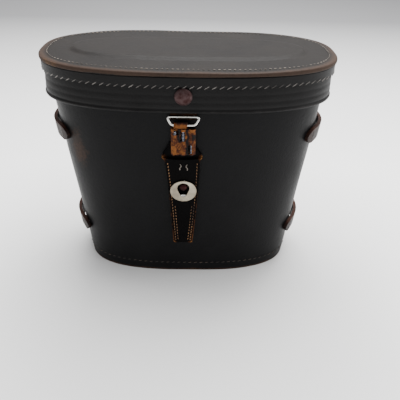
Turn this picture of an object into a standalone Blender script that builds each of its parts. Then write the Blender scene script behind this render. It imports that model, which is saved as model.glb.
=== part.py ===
"""Old leather binocular case: tapered body, hinged lid, hanging spring clasp.

Metres, +Z up, the front faces -Y, the origin is under the middle of the base.
"""

import math

import bmesh
import bpy
from mathutils import Matrix, Vector

# The gap between pieces that touch on the real case.
GAP = 0.0003

# The body: half sizes of its outer outline at the base and at the level of the lid's lip.
BASE_HALF_WIDTH = 0.0775
BASE_HALF_DEPTH = 0.0414
BASE_POWER = 2.85
MOUTH_HALF_WIDTH = 0.0898
MOUTH_HALF_DEPTH = 0.0427
MOUTH_POWER = 2.6
LIP_Z = 0.1314
WALL = 0.0024

# The lid slips over the mouth. Its skirt leans in a little from the lip to the shoulder.
LID_HEIGHT = 0.0246
SKIRT = 0.0022
LID_ROOM_SIDES = 0.0019
LID_ROOM_FRONT = 0.0014
SKIRT_LEAN_SIDES = 0.0008
SKIRT_LEAN_FRONT = 0.0016
PANEL = 0.0028
BAND = 0.001
BAND_HEIGHT = 0.0063
RIM_OVERHANG = 0.0006
RIM_TOP_Z = LIP_Z + LID_HEIGHT
LIP_HALF_WIDTH = MOUTH_HALF_WIDTH + LID_ROOM_SIDES + SKIRT
LIP_HALF_DEPTH = MOUTH_HALF_DEPTH + LID_ROOM_FRONT + SKIRT
SHOULDER_Z = RIM_TOP_Z - PANEL - BAND_HEIGHT
SHOULDER_HALF_WIDTH = LIP_HALF_WIDTH - SKIRT_LEAN_SIDES
SHOULDER_HALF_DEPTH = LIP_HALF_DEPTH - SKIRT_LEAN_FRONT
BAND_HALF_WIDTH = SHOULDER_HALF_WIDTH + GAP + BAND
BAND_HALF_DEPTH = SHOULDER_HALF_DEPTH + GAP + BAND
RIM_HALF_WIDTH = BAND_HALF_WIDTH + RIM_OVERHANG
RIM_HALF_DEPTH = BAND_HALF_DEPTH + RIM_OVERHANG
RIM_EASE = 0.0007

# The low oval pressed up in the top panel.
PLATEAU_MARGIN_SIDES = 0.0202
PLATEAU_MARGIN_FRONT = 0.0232
PLATEAU_RISE = 0.001
PLATEAU_SLOPE = 0.0025

# The back of the case is drawn in a little between two soft humps.
BACK_DIP = 0.003
BACK_DIP_WIDTH = 0.033

# The pieces inside the body.
COLLAR = 0.0018
COLLAR_BELOW_LIP = 0.012
COLLAR_ABOVE_LIP = 0.0116
WALL_ABOVE_LIP = 0.001
BASE_PANEL = 0.003
BASE_FLANGE = 0.0018
BASE_FLANGE_HEIGHT = 0.012
BASE_PAD = 0.0025
LINING = 0.0008

# The strips on the back.
SEAM_COVER_WIDTH = 0.022
SEAM_COVER = 0.0016
SEAM_COVER_BELOW_LIP = 0.0254
HINGE_WIDTH = 0.060
HINGE_LEATHER = 0.0016
HINGE_HEIGHT_BELOW = 0.021
HINGE_HEIGHT_ABOVE = 0.0135
HINGE_LINE_GAP = 0.001
HINGE_AXIS_BEHIND_LIP = 0.0009

# The loops that guide a shoulder strap.
UPPER_LOOPS_BELOW_LIP = 0.0249
LOWER_LOOPS_Z = 0.0305
LOOP_HEIGHT = 0.0105
LOOP_LEATHER = 0.0024
LOOP_END_MARGIN = 0.0164
LOOP_FLAT_END = 0.007
LOOP_BULGE = 0.0024

# The tab: two layers of leather that hang just in front of the wall and narrow to the foot.
CLASP_X = -0.0027
TAB_ROOM = 0.0006
TAB_LEATHER = 0.0015
TAB_LENGTH = 0.0697
TAB_EAR_HALF_WIDTH = 0.0130
TAB_FOOT_HALF_WIDTH = 0.0066
TAB_FOOT_CORNER = 0.0012
TAB_SHOULDER_HALF_WIDTH = 0.0076
TAB_SHOULDER_RISE = 0.0092
TAB_HOLLOW = 0.0016

# The sleeve holds three coil springs side by side.
SLEEVE_WIDTH = 0.0154
SLEEVE_LENGTH = 0.0178
SLEEVE_WEB = 0.0024
SLEEVE_HEAD = 0.0012
SLEEVE_ABOVE_EARS = 0.0025
RIDGE_WALL = 0.0006
RIDGE_PITCH = 0.0053
CHANNEL_RADIUS = 0.0015
FOLD_WIDTH = 0.0078
FOLD_LEATHER = 0.0009
FOLD_RISE = 0.0021
FOLD_OVERLAP = 0.001
SPRING_WIRE = 0.00045
SPRING_TURNS = 9
SPRING_END_GAP = 0.0008

# The wire loop, and the steel hanger whose hooked foot carries it.
WIRE_RADIUS = 0.0007
LOOP_TOP_WIDTH = 0.0200
LOOP_FOOT_WIDTH = 0.0145
LOOP_DROP = 0.0045
LOOP_CORNER = 0.0016
LOOP_CORNER_STEPS = 5
LOOP_BAR_BELOW_LIP = 0.0031
LOOP_BAR_BEFORE_TAB = 0.0017
HANGER_WIDTH = 0.0160
HANGER_STEEL = 0.0007
HANGER_ABOVE_RIVET = 0.0041
BARREL_STEEL = 0.00055
PIVOT_GAP = 0.0003
ROLL_START = 40
ROLL_END = -165
ROLL_NECK = 20

# The clasp's rivet goes through the lid's skirt and the hanger.
RIVET_ABOVE_LIP = 0.0100
RIVET_HEAD_RADIUS = 0.0053
RIVET_HEAD_RISE = 0.0019
RIVET_HEAD_EDGE = 0.0004
RIVET_SHANK_RADIUS = 0.0013
RIVET_WASHER_RADIUS = 0.0030
RIVET_WASHER = 0.0005

# The keyhole plate and the stud that stands in its round end.
PLATE_BELOW_EARS = 0.0250
PLATE_HALF_WIDTH = 0.0087
PLATE_HALF_HEIGHT = 0.0080
PLATE = 0.001
KEYHOLE_ROUND_RISE = 0.0022
KEYHOLE_RADIUS = 0.0040
KEYHOLE_FOOT_DROP = 0.0017
KEYHOLE_FOOT_RADIUS = 0.0024
SLOT_HALF_WIDTH = 0.0050
SLOT_HALF_HEIGHT = 0.0073
STUD_HEAD_RADIUS = 0.0032
STUD_HEAD_EDGE = 0.0027
STUD_HEAD = 0.0032
STUD_NECK_RADIUS = 0.0021
STUD_SHANK_RADIUS = 0.0014
STUD_TIP_BEHIND_PLATE_FACE = 0.0004
STUD_FOOT_RADIUS = 0.0038
STUD_FOOT = 0.0005
STUD_FILLET = 0.0012
WASHER_RADIUS = 0.0050
WASHER = 0.0008

# Heights along the clasp, from the lip down.
RIVET_Z = LIP_Z + RIVET_ABOVE_LIP
LOOP_BAR_Z = LIP_Z - LOOP_BAR_BELOW_LIP
LOOP_FOOT_Z = LOOP_BAR_Z - LOOP_DROP
SLEEVE_TOP_Z = LOOP_FOOT_Z - FOLD_RISE
SLEEVE_FOOT_Z = SLEEVE_TOP_Z - SLEEVE_LENGTH
TAB_EAR_Z = SLEEVE_FOOT_Z - SLEEVE_ABOVE_EARS
TAB_SHOULDER_Z = TAB_EAR_Z + TAB_SHOULDER_RISE
TAB_FOOT_Z = TAB_EAR_Z - TAB_LENGTH
PLATE_Z = TAB_EAR_Z - PLATE_BELOW_EARS
KEYHOLE_ROUND_Z = PLATE_Z + KEYHOLE_ROUND_RISE
KEYHOLE_FOOT_Z = PLATE_Z - KEYHOLE_FOOT_DROP
STUD_Z = KEYHOLE_ROUND_Z

# Planes of the clasp, from the wall outwards.
RIDGE_RADIUS = CHANNEL_RADIUS + RIDGE_WALL
TAB_BACK_Y = -MOUTH_HALF_DEPTH - TAB_ROOM
SLEEVE_Y = TAB_BACK_Y - TAB_LEATHER - GAP - RIDGE_RADIUS
PLATE_Y = TAB_BACK_Y - 2 * TAB_LEATHER - 2 * GAP
LOOP_BAR_Y = TAB_BACK_Y - LOOP_BAR_BEFORE_TAB
LOOP_FOOT_Y = SLEEVE_Y
HINGE_AXIS_Y = LIP_HALF_DEPTH + HINGE_AXIS_BEHIND_LIP

OUTLINE_STEPS = 64
ROUND_STEPS = 24


def clear_scene():
    for obj in list(bpy.data.objects):
        bpy.data.objects.remove(obj)


def new_collection(name):
    collection = bpy.data.collections.new(name)
    bpy.context.scene.collection.children.link(collection)
    return collection


clear_scene()
CASE = new_collection("binocular_case")
CUTTERS = new_collection("cutters")
CUTTERS.hide_render = True


def material(name, colour, roughness, metallic=0.0):
    found = bpy.data.materials.new(name)
    found.use_nodes = True
    shader = found.node_tree.nodes["Principled BSDF"]
    shader.inputs["Base Color"].default_value = (*colour, 1.0)
    shader.inputs["Roughness"].default_value = roughness
    shader.inputs["Metallic"].default_value = metallic
    return found


def black_leather(name):
    return material(name, (0.012, 0.012, 0.013), 0.45)


def worn_leather(name):
    return material(name, (0.30, 0.11, 0.03), 0.7)


def nickel(name):
    return material(name, (0.72, 0.71, 0.66), 0.3, 1.0)


def bronzed(name):
    return material(name, (0.06, 0.03, 0.03), 0.35, 1.0)


def black_steel(name):
    return material(name, (0.03, 0.028, 0.027), 0.45, 0.6)


def spring_steel(name):
    return material(name, (0.45, 0.45, 0.46), 0.35, 1.0)


def felt(name):
    return material(name, (0.09, 0.06, 0.05), 0.95)


def place(obj, finish, collection=None):
    """Links the object, names its mesh after it and gives it a material of its own."""
    (collection or CASE).objects.link(obj)
    obj.data.materials.clear()
    obj.data.materials.append(finish(obj.name))
    return obj


def object_from(name, mesh_builder):
    mesh = bpy.data.meshes.new(name)
    mesh_builder.to_mesh(mesh)
    mesh_builder.free()
    return bpy.data.objects.new(name, mesh)


def as_cutter(obj):
    CUTTERS.objects.link(obj)
    obj.hide_render = True
    obj.display_type = "WIRE"
    return obj


def boolean(obj, other, operation="DIFFERENCE"):
    step = obj.modifiers.new(other.name, "BOOLEAN")
    step.operation = operation
    step.solver = "EXACT"
    step.object = other


def smooth(obj, angle=40):
    obj.data.shade_smooth()
    obj.data.set_sharp_from_angle(angle=math.radians(angle))


def outline(half_width, half_depth, power, z):
    """Rounded outline of the case at one height, with the back drawn in."""
    points = []
    for step in range(OUTLINE_STEPS):
        turn = 2 * math.pi * step / OUTLINE_STEPS
        across = math.copysign(abs(math.cos(turn)) ** (2 / power), math.cos(turn))
        along = math.copysign(abs(math.sin(turn)) ** (2 / power), math.sin(turn))
        x = half_width * across
        y = half_depth * along
        if y > 0:
            y -= back_dip(x) * along
        points.append(Vector((x, y, z)))
    return points


def back_dip(x):
    return BACK_DIP * math.exp(-((x / BACK_DIP_WIDTH) ** 2))


def mix(low, high, share):
    return low + (high - low) * share


def body_sizes(z):
    """Half width, half depth and power of the body's outer outline at a height."""
    share = z / LIP_Z
    return (
        mix(BASE_HALF_WIDTH, MOUTH_HALF_WIDTH, share),
        mix(BASE_HALF_DEPTH, MOUTH_HALF_DEPTH, share),
        mix(BASE_POWER, MOUTH_POWER, share),
    )


def body_outline(z, inset=0.0):
    half_width, half_depth, power = body_sizes(z)
    return outline(half_width - inset, half_depth - inset, power, z)


def lid_sizes(z):
    """The same for the lid's skirt, which narrows from the lip to the shoulder."""
    share = min(1.0, max(0.0, (z - LIP_Z) / (SHOULDER_Z - LIP_Z)))
    return (
        mix(LIP_HALF_WIDTH, SHOULDER_HALF_WIDTH, share),
        mix(LIP_HALF_DEPTH, SHOULDER_HALF_DEPTH, share),
        MOUTH_POWER,
    )


def lid_outline(z, inset=0.0):
    half_width, half_depth, power = lid_sizes(z)
    return outline(half_width - inset, half_depth - inset, power, z)


def reach(sizes, x, z, side):
    """Y of the outer surface at x, on the front (side -1) or the back (side +1)."""
    half_width, half_depth, power = sizes(z)
    y = half_depth * (1 - abs(x / half_width) ** power) ** (1 / power)
    if side > 0:
        y -= back_dip(x) * y / half_depth
    return side * y


def loft(name, rings, closed=False):
    """A tube through the rings, from the top down, with both ends filled when closed."""
    builder = bmesh.new()
    levels = [[builder.verts.new(point) for point in ring] for ring in rings]
    count = len(levels[0])
    for upper, lower in zip(levels, levels[1:]):
        for i in range(count):
            j = (i + 1) % count
            builder.faces.new((lower[i], lower[j], upper[j], upper[i]))
    if closed:
        builder.faces.new(levels[0])
        builder.faces.new(list(reversed(levels[-1])))
    return object_from(name, builder)


def thicken(obj, thickness, outwards=False):
    wall = obj.modifiers.new("wall", "SOLIDIFY")
    wall.thickness = thickness
    wall.offset = 1.0 if outwards else -1.0
    wall.use_even_offset = True


def cylinder(name, radius, start, end, radius_end=None, steps=ROUND_STEPS):
    """A straight round bar from one point to another."""
    start = Vector(start)
    axis = Vector(end) - start
    builder = bmesh.new()
    bmesh.ops.create_cone(
        builder,
        cap_ends=True,
        segments=steps,
        radius1=radius,
        radius2=radius if radius_end is None else radius_end,
        depth=axis.length,
    )
    turn = axis.to_track_quat("Z", "Y").to_matrix().to_4x4()
    bmesh.ops.transform(builder, matrix=Matrix.Translation(start + axis / 2) @ turn, verts=builder.verts)
    return object_from(name, builder)


def turned(name, profile, centre, finish, steps=ROUND_STEPS):
    """A turned piece on an axis along Y, with its head at -Y. Profile: (radius, height)."""
    mesh = bpy.data.meshes.new(name)
    points = [(radius, 0.0, height) for radius, height in profile]
    mesh.from_pydata(points, [(i, i + 1) for i in range(len(points) - 1)], [])
    obj = place(bpy.data.objects.new(name, mesh), finish)
    screw = obj.modifiers.new("turn", "SCREW")
    screw.steps = steps
    screw.render_steps = steps
    screw.use_merge_vertices = True
    screw.merge_threshold = 0.00001
    obj.rotation_euler = (math.pi / 2, 0, 0)
    obj.location = centre
    return obj


def plate_from(name, points, thickness, holes=()):
    """A flat piece in the XZ plane, from its outline, with its middle plane at y = 0."""
    curve = bpy.data.curves.new(name, "CURVE")
    curve.dimensions = "2D"
    curve.fill_mode = "BOTH"
    curve.extrude = thickness / 2
    for ring in (points, *holes):
        spline = curve.splines.new("POLY")
        spline.points.add(len(ring) - 1)
        for knot, (x, z) in zip(spline.points, ring):
            knot.co = (x, z, 0, 1)
        spline.use_cyclic_u = True
    obj = bpy.data.objects.new(name, curve)
    obj.rotation_euler = (math.pi / 2, 0, 0)
    return meshed(obj)


def side_from(name, points, width):
    """A piece of constant side view, from its outline in the YZ plane, centred on x = 0."""
    obj = plate_from(name, points, width)
    obj.data.transform(Matrix.Rotation(math.pi / 2, 4, "Z"))
    return obj


def meshed(obj):
    """The curve as a welded mesh with its place applied, which a Boolean can use."""
    scene = bpy.context.scene.collection
    scene.objects.link(obj)
    bpy.context.view_layer.update()
    evaluated = obj.evaluated_get(bpy.context.evaluated_depsgraph_get())
    mesh = bpy.data.meshes.new_from_object(evaluated)
    mesh.transform(obj.matrix_world)
    builder = bmesh.new()
    builder.from_mesh(mesh)
    bmesh.ops.remove_doubles(builder, verts=builder.verts, dist=0.000001)
    bmesh.ops.recalc_face_normals(builder, faces=builder.faces)
    builder.to_mesh(mesh)
    builder.free()
    name = obj.name
    bpy.data.objects.remove(obj)
    return bpy.data.objects.new(name, mesh)


def wire(name, points, radius, finish, cyclic=False, resolution=2):
    curve = bpy.data.curves.new(name, "CURVE")
    curve.dimensions = "3D"
    curve.bevel_depth = radius
    curve.bevel_resolution = resolution
    curve.use_fill_caps = True
    spline = curve.splines.new("POLY")
    spline.points.add(len(points) - 1)
    for knot, point in zip(spline.points, points):
        knot.co = (*point, 1)
    spline.use_cyclic_u = cyclic
    return place(bpy.data.objects.new(name, curve), finish)


def arc(centre, radius, start, end, steps):
    """Points on an arc, in degrees, ends included."""
    points = []
    for step in range(steps + 1):
        turn = math.radians(mix(start, end, step / steps))
        points.append((centre[0] + radius * math.cos(turn), centre[1] + radius * math.sin(turn)))
    return points


def patch(name, sizes, x_range, z_range, gap, thickness, side, finish):
    """A leather strip that lies on the body or the lid, a gap away from it."""
    builder = bmesh.new()
    bmesh.ops.create_grid(builder, x_segments=12, y_segments=6, size=0.5)
    for vert in builder.verts:
        x = mix(*x_range, vert.co.x + 0.5)
        z = mix(*z_range, vert.co.y + 0.5)
        vert.co = (x, reach(sizes, x, z, side) + side * gap, z)
    if side > 0:
        bmesh.ops.reverse_faces(builder, faces=builder.faces)
    obj = place(object_from(name, builder), finish)
    thicken(obj, thickness, outwards=True)
    return obj


# The body


def body_wall():
    levels = [LIP_Z + WALL_ABOVE_LIP, LIP_Z * 0.66, LIP_Z * 0.33, 0.0]
    obj = place(loft("body_wall", [body_outline(z) for z in levels]), black_leather)
    thicken(obj, WALL)
    wall_y = reach(body_sizes, CLASP_X, STUD_Z, -1)
    start = (CLASP_X, wall_y - WALL, STUD_Z)
    end = (CLASP_X, wall_y + 2 * WALL, STUD_Z)
    boolean(obj, as_cutter(cylinder("stud_hole", STUD_SHANK_RADIUS + GAP, start, end)))
    smooth(obj)


def base_panel():
    inset = WALL + GAP
    inner = inset + BASE_FLANGE
    rings = [
        body_outline(BASE_PANEL, inner),
        body_outline(BASE_FLANGE_HEIGHT, inner),
        body_outline(BASE_FLANGE_HEIGHT, inset),
        body_outline(0.0, inset),
    ]
    obj = place(loft("base_panel", rings, closed=True), black_leather)
    smooth(obj)


def inner_inset():
    return WALL + GAP + COLLAR + GAP


def mouth_collar():
    levels = [LIP_Z + COLLAR_ABOVE_LIP, LIP_Z, LIP_Z - COLLAR_BELOW_LIP]
    rings = [collar_outline(z) for z in levels]
    obj = place(loft("mouth_collar", rings), black_leather)
    thicken(obj, COLLAR)
    smooth(obj)


def collar_outline(z):
    """The collar follows the wall inside the body and stands upright above it."""
    ring = body_outline(min(z, LIP_Z), WALL + GAP)
    return [Vector((point.x, point.y, z)) for point in ring]


def body_lining():
    foot = BASE_PANEL + GAP + BASE_PAD + GAP
    rings = []
    for z in (LIP_Z + COLLAR_ABOVE_LIP, LIP_Z, LIP_Z / 2, foot):
        ring = body_outline(min(z, LIP_Z), inner_inset())
        rings.append([Vector((point.x, point.y, z)) for point in ring])
    obj = place(loft("body_lining", rings), felt)
    thicken(obj, LINING)
    smooth(obj)


def base_pad():
    low = BASE_PANEL + GAP
    rings = [body_outline(low + BASE_PAD, inner_inset()), body_outline(low, inner_inset())]
    smooth(place(loft("base_pad", rings, closed=True), felt))


def back_strips():
    half = SEAM_COVER_WIDTH / 2
    z_range = (BASE_PANEL, LIP_Z - SEAM_COVER_BELOW_LIP)
    patch("back_seam_cover", body_sizes, (-half, half), z_range, GAP, SEAM_COVER, 1, black_leather)
    half = HINGE_WIDTH / 2
    top = LIP_Z - HINGE_LINE_GAP
    z_range = (top - HINGE_HEIGHT_BELOW, top)
    patch("hinge_strip_lower", body_sizes, (-half, half), z_range, GAP, HINGE_LEATHER, 1, black_leather)
    foot = LIP_Z + HINGE_LINE_GAP
    z_range = (foot, foot + HINGE_HEIGHT_ABOVE)
    patch("hinge_strip_upper", lid_sizes, (-half, half), z_range, GAP, HINGE_LEATHER, 1, black_leather)


def strap_loop(name, middle_z, side):
    """A strip along the side wall that stands out in the middle to let a strap through."""
    half_reach = body_sizes(middle_z)[1] - LOOP_END_MARGIN
    builder = bmesh.new()
    bmesh.ops.create_grid(builder, x_segments=28, y_segments=2, size=0.5)
    for vert in builder.verts:
        y = half_reach * 2 * vert.co.x
        z = middle_z + LOOP_HEIGHT * vert.co.y
        half_width, half_depth, power = body_sizes(z)
        x = half_width * (1 - abs(y / half_depth) ** power) ** (1 / power)
        normal = Vector((x ** (power - 1) / half_width**power, 0, 0))
        normal.y = math.copysign(abs(y) ** (power - 1) / half_depth**power, y)
        normal.normalize()
        out = GAP + strap_room(y, half_reach - LOOP_FLAT_END)
        vert.co = (side * (x + normal.x * out), y + normal.y * out, z)
    if side < 0:
        bmesh.ops.reverse_faces(builder, faces=builder.faces)
    obj = place(object_from(name, builder), black_leather)
    thicken(obj, LOOP_LEATHER, outwards=True)
    smooth(obj)


def strap_room(y, half_bulge):
    if abs(y) >= half_bulge:
        return 0.0
    return LOOP_BULGE * math.cos(math.pi * y / (2 * half_bulge)) ** 1.2


def strap_loops():
    for level, z in (("upper", LIP_Z - UPPER_LOOPS_BELOW_LIP), ("lower", LOWER_LOOPS_Z)):
        strap_loop(f"strap_loop_{level}_left", z, -1)
        strap_loop(f"strap_loop_{level}_right", z, 1)


def closure_stud():
    """A knob on a neck, whose shank goes through the wall to a washer."""
    wall_y = reach(body_sizes, CLASP_X, STUD_Z, -1)
    tip = wall_y - (PLATE_Y - PLATE + STUD_TIP_BEHIND_PLATE_FACE)
    tail = WALL + GAP + WASHER + GAP
    dome = STUD_HEAD_EDGE * 0.7
    profile = [(0.0, tip)]
    for step in range(1, 5):
        turn = math.radians(90 * step / 4)
        height = tip - dome * (1 - math.cos(turn))
        profile.append((STUD_HEAD_RADIUS * math.sin(turn), height))
    profile += [
        (STUD_HEAD_RADIUS, tip - STUD_HEAD_EDGE),
        (STUD_NECK_RADIUS, tip - STUD_HEAD),
        (STUD_NECK_RADIUS, STUD_FILLET),
        (STUD_FOOT_RADIUS, GAP + STUD_FOOT),
        (STUD_FOOT_RADIUS, GAP),
        (STUD_SHANK_RADIUS, GAP),
        (STUD_SHANK_RADIUS, -tail),
        (0.0, -tail),
    ]
    obj = turned("closure_stud", profile, (CLASP_X, wall_y, STUD_Z), bronzed)
    smooth(obj)
    centre = (CLASP_X, wall_y + WALL + GAP, STUD_Z)
    washer("stud_washer", WASHER_RADIUS, STUD_SHANK_RADIUS + GAP / 2, WASHER, centre)


def washer(name, radius, bore, thickness, centre):
    profile = [(radius, 0.0), (radius, -thickness), (bore, -thickness), (bore, 0.0), (radius, 0.0)]
    smooth(turned(name, profile, centre, bronzed))


# The lid


def lid_top():
    """The top panel, with a low raised oval pressed into it."""
    half_width = RIM_HALF_WIDTH - PLATEAU_MARGIN_SIDES
    half_depth = RIM_HALF_DEPTH - PLATEAU_MARGIN_FRONT
    rings = [
        outline(half_width, half_depth, MOUTH_POWER, RIM_TOP_Z + PLATEAU_RISE),
        outline(half_width + PLATEAU_SLOPE, half_depth + PLATEAU_SLOPE, MOUTH_POWER, RIM_TOP_Z),
        outline(RIM_HALF_WIDTH - RIM_EASE, RIM_HALF_DEPTH - RIM_EASE, MOUTH_POWER, RIM_TOP_Z),
        outline(RIM_HALF_WIDTH, RIM_HALF_DEPTH, MOUTH_POWER, RIM_TOP_Z - RIM_EASE),
        outline(RIM_HALF_WIDTH, RIM_HALF_DEPTH, MOUTH_POWER, RIM_TOP_Z - PANEL),
    ]
    smooth(place(loft("lid_top", rings, closed=True), black_leather))


def lid_skirt():
    top = RIM_TOP_Z - PANEL - GAP
    levels = [top, SHOULDER_Z, mix(LIP_Z, SHOULDER_Z, 0.5), LIP_Z]
    obj = place(loft("lid_skirt", [lid_outline(z) for z in levels]), black_leather)
    thicken(obj, SKIRT)
    boolean(obj, as_cutter(rivet_bore("skirt_rivet_hole")))
    smooth(obj)


def rivet_bore(name):
    y = reach(lid_sizes, CLASP_X, RIVET_Z, -1)
    start = (CLASP_X, y - SKIRT, RIVET_Z)
    end = (CLASP_X, y + 2 * SKIRT, RIVET_Z)
    return cylinder(name, RIVET_SHANK_RADIUS + GAP, start, end)


def rim_band():
    """A narrow band sewn round the top of the skirt, under the rim."""
    top = RIM_TOP_Z - PANEL - GAP
    rings = [outline(BAND_HALF_WIDTH, BAND_HALF_DEPTH, MOUTH_POWER, z) for z in (top, SHOULDER_Z)]
    obj = place(loft("rim_band", rings), black_leather)
    thicken(obj, BAND)
    smooth(obj)


def lid_lining():
    top = RIM_TOP_Z - PANEL - GAP
    inset = SKIRT + 2 * GAP
    rings = [lid_outline(z, inset) for z in (top, top - LINING)]
    smooth(place(loft("lid_lining", rings, closed=True), felt))


# The clasp


def skirt_slope():
    """How far the skirt's front leans, as Y over Z."""
    high = reach(lid_sizes, CLASP_X, SHOULDER_Z, -1)
    low = reach(lid_sizes, CLASP_X, LIP_Z, -1)
    return (high - low) / (SHOULDER_Z - LIP_Z)


def hanger_y(z):
    """The outer face of the hanger, just inside the skirt."""
    return reach(lid_sizes, CLASP_X, LIP_Z, -1) + SKIRT + GAP + skirt_slope() * (z - LIP_Z)


def barrel_radius():
    return WIRE_RADIUS + PIVOT_GAP


def clasp_hanger():
    """A blackened steel plate inside the skirt, with its foot hooked under the wire loop's top bar."""
    inner = barrel_radius()
    outer = inner + BARREL_STEEL
    centre = (LOOP_BAR_Y, LOOP_BAR_Z)
    top_z = RIVET_Z + HANGER_ABOVE_RIVET
    low_z = LOOP_BAR_Z + outer + GAP
    points = [
        (hanger_y(top_z) + HANGER_STEEL, top_z),
        (hanger_y(top_z), top_z),
        (hanger_y(low_z), low_z),
    ]
    points += arc(centre, inner, ROLL_START, ROLL_END, 20)
    points += arc(centre, outer, ROLL_END, ROLL_START - ROLL_NECK, 20)
    points.append((hanger_y(low_z) + HANGER_STEEL, low_z))
    obj = side_from("clasp_hanger", points, HANGER_WIDTH)
    obj.location.x = CLASP_X
    place(obj, black_steel)
    boolean(obj, as_cutter(rivet_bore("hanger_rivet_hole")))
    smooth(obj)


def clasp_rivet():
    skirt_y = reach(lid_sizes, CLASP_X, RIVET_Z - RIVET_HEAD_RADIUS, -1)
    washer_y = hanger_y(RIVET_Z - RIVET_WASHER_RADIUS) + HANGER_STEEL + 2 * GAP
    tail = washer_y + RIVET_WASHER + GAP - skirt_y
    profile = [(0.0, GAP + RIVET_HEAD_RISE)]
    for step in range(1, 6):
        turn = math.radians(90 * step / 5)
        height = GAP + RIVET_HEAD_EDGE + (RIVET_HEAD_RISE - RIVET_HEAD_EDGE) * math.cos(turn)
        profile.append((RIVET_HEAD_RADIUS * math.sin(turn), height))
    profile += [
        (RIVET_HEAD_RADIUS, GAP),
        (RIVET_SHANK_RADIUS, GAP),
        (RIVET_SHANK_RADIUS, -tail),
        (0.0, -tail),
    ]
    smooth(turned("clasp_rivet", profile, (CLASP_X, skirt_y, RIVET_Z), bronzed))
    bore = RIVET_SHANK_RADIUS + GAP / 2
    washer("rivet_washer", RIVET_WASHER_RADIUS, bore, RIVET_WASHER, (CLASP_X, washer_y, RIVET_Z))


def wire_loop():
    """A trapezoid of nickelled wire with small round corners."""
    corners = [
        Vector((-LOOP_TOP_WIDTH / 2, LOOP_BAR_Y, LOOP_BAR_Z)),
        Vector((LOOP_TOP_WIDTH / 2, LOOP_BAR_Y, LOOP_BAR_Z)),
        Vector((LOOP_FOOT_WIDTH / 2, LOOP_FOOT_Y, LOOP_FOOT_Z)),
        Vector((-LOOP_FOOT_WIDTH / 2, LOOP_FOOT_Y, LOOP_FOOT_Z)),
    ]
    points = []
    for i, corner in enumerate(corners):
        before = (corners[i - 1] - corner).normalized() * LOOP_CORNER
        after = (corners[(i + 1) % 4] - corner).normalized() * LOOP_CORNER
        for step in range(LOOP_CORNER_STEPS + 1):
            share = step / LOOP_CORNER_STEPS
            bend = before * (1 - share) ** 2 + after * share**2
            points.append(corner + bend + Vector((CLASP_X, 0, 0)))
    wire("wire_loop", points, WIRE_RADIUS, nickel, cyclic=True)


def spring_sleeve():
    """A leather sleeve with three ridges, folded at the top over the wire loop's foot."""
    inner = barrel_radius()
    outer = inner + FOLD_LEATHER
    centre = Vector((0, LOOP_FOOT_Y, LOOP_FOOT_Z))
    web = [
        (-SLEEVE_WIDTH / 2, SLEEVE_FOOT_Z),
        (SLEEVE_WIDTH / 2, SLEEVE_FOOT_Z),
        (SLEEVE_WIDTH / 2, SLEEVE_TOP_Z),
        (-SLEEVE_WIDTH / 2, SLEEVE_TOP_Z),
    ]
    obj = plate_from("spring_sleeve", web, SLEEVE_WEB)
    obj.data.transform(Matrix.Translation((CLASP_X, SLEEVE_Y, 0)))
    place(obj, worn_leather)
    for index in (-1, 0, 1):
        x = CLASP_X + index * RIDGE_PITCH
        ridge = cylinder(f"ridge_{index}", RIDGE_RADIUS, (x, SLEEVE_Y, SLEEVE_FOOT_Z), (x, SLEEVE_Y, SLEEVE_TOP_Z))
        boolean(obj, as_cutter(ridge), "UNION")
    half = SLEEVE_WEB / 2
    low = SLEEVE_TOP_Z - FOLD_OVERLAP
    fold = [(SLEEVE_Y - half, low), (SLEEVE_Y + half, low)]
    fold += arc((centre.y, centre.z), outer, 0, 180, 12)
    tongue = side_from("fold", fold, FOLD_WIDTH)
    left = -LOOP_FOOT_WIDTH / 2 + LOOP_CORNER + WIRE_RADIUS
    tongue.data.transform(Matrix.Translation((CLASP_X + left + FOLD_WIDTH / 2, 0, 0)))
    boolean(obj, as_cutter(tongue), "UNION")
    start = (CLASP_X - SLEEVE_WIDTH, centre.y, centre.z)
    end = (CLASP_X + SLEEVE_WIDTH, centre.y, centre.z)
    boolean(obj, as_cutter(cylinder("fold_bore", inner, start, end)))
    for index in (-1, 0, 1):
        x = CLASP_X + index * RIDGE_PITCH
        start = (x, SLEEVE_Y, SLEEVE_FOOT_Z - RIDGE_RADIUS)
        end = (x, SLEEVE_Y, channel_top())
        boolean(obj, as_cutter(cylinder(f"channel_{index}", CHANNEL_RADIUS, start, end)))
    smooth(obj)


def channel_top():
    return SLEEVE_TOP_Z - SLEEVE_HEAD


def coil_springs():
    """One spring in each channel of the sleeve."""
    coil_radius = CHANNEL_RADIUS - GAP - SPRING_WIRE
    low = SLEEVE_FOOT_Z + SPRING_END_GAP
    high = channel_top() - SPRING_END_GAP
    steps = 10 * SPRING_TURNS
    for index, name in ((-1, "left"), (0, "middle"), (1, "right")):
        points = []
        for step in range(steps + 1):
            turn = 2 * math.pi * SPRING_TURNS * step / steps
            x = CLASP_X + index * RIDGE_PITCH + coil_radius * math.cos(turn)
            y = SLEEVE_Y + coil_radius * math.sin(turn)
            points.append((x, y, mix(low, high, step / steps)))
        wire(f"coil_spring_{name}", points, SPRING_WIRE, spring_steel, resolution=0)


def slot_points():
    """The hole through both layers, hidden behind the plate."""
    points = []
    for step in range(ROUND_STEPS):
        turn = 2 * math.pi * step / ROUND_STEPS
        x = SLOT_HALF_WIDTH * math.cos(turn)
        points.append((x, PLATE_Z + SLOT_HALF_HEIGHT * math.sin(turn)))
    return points


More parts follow.
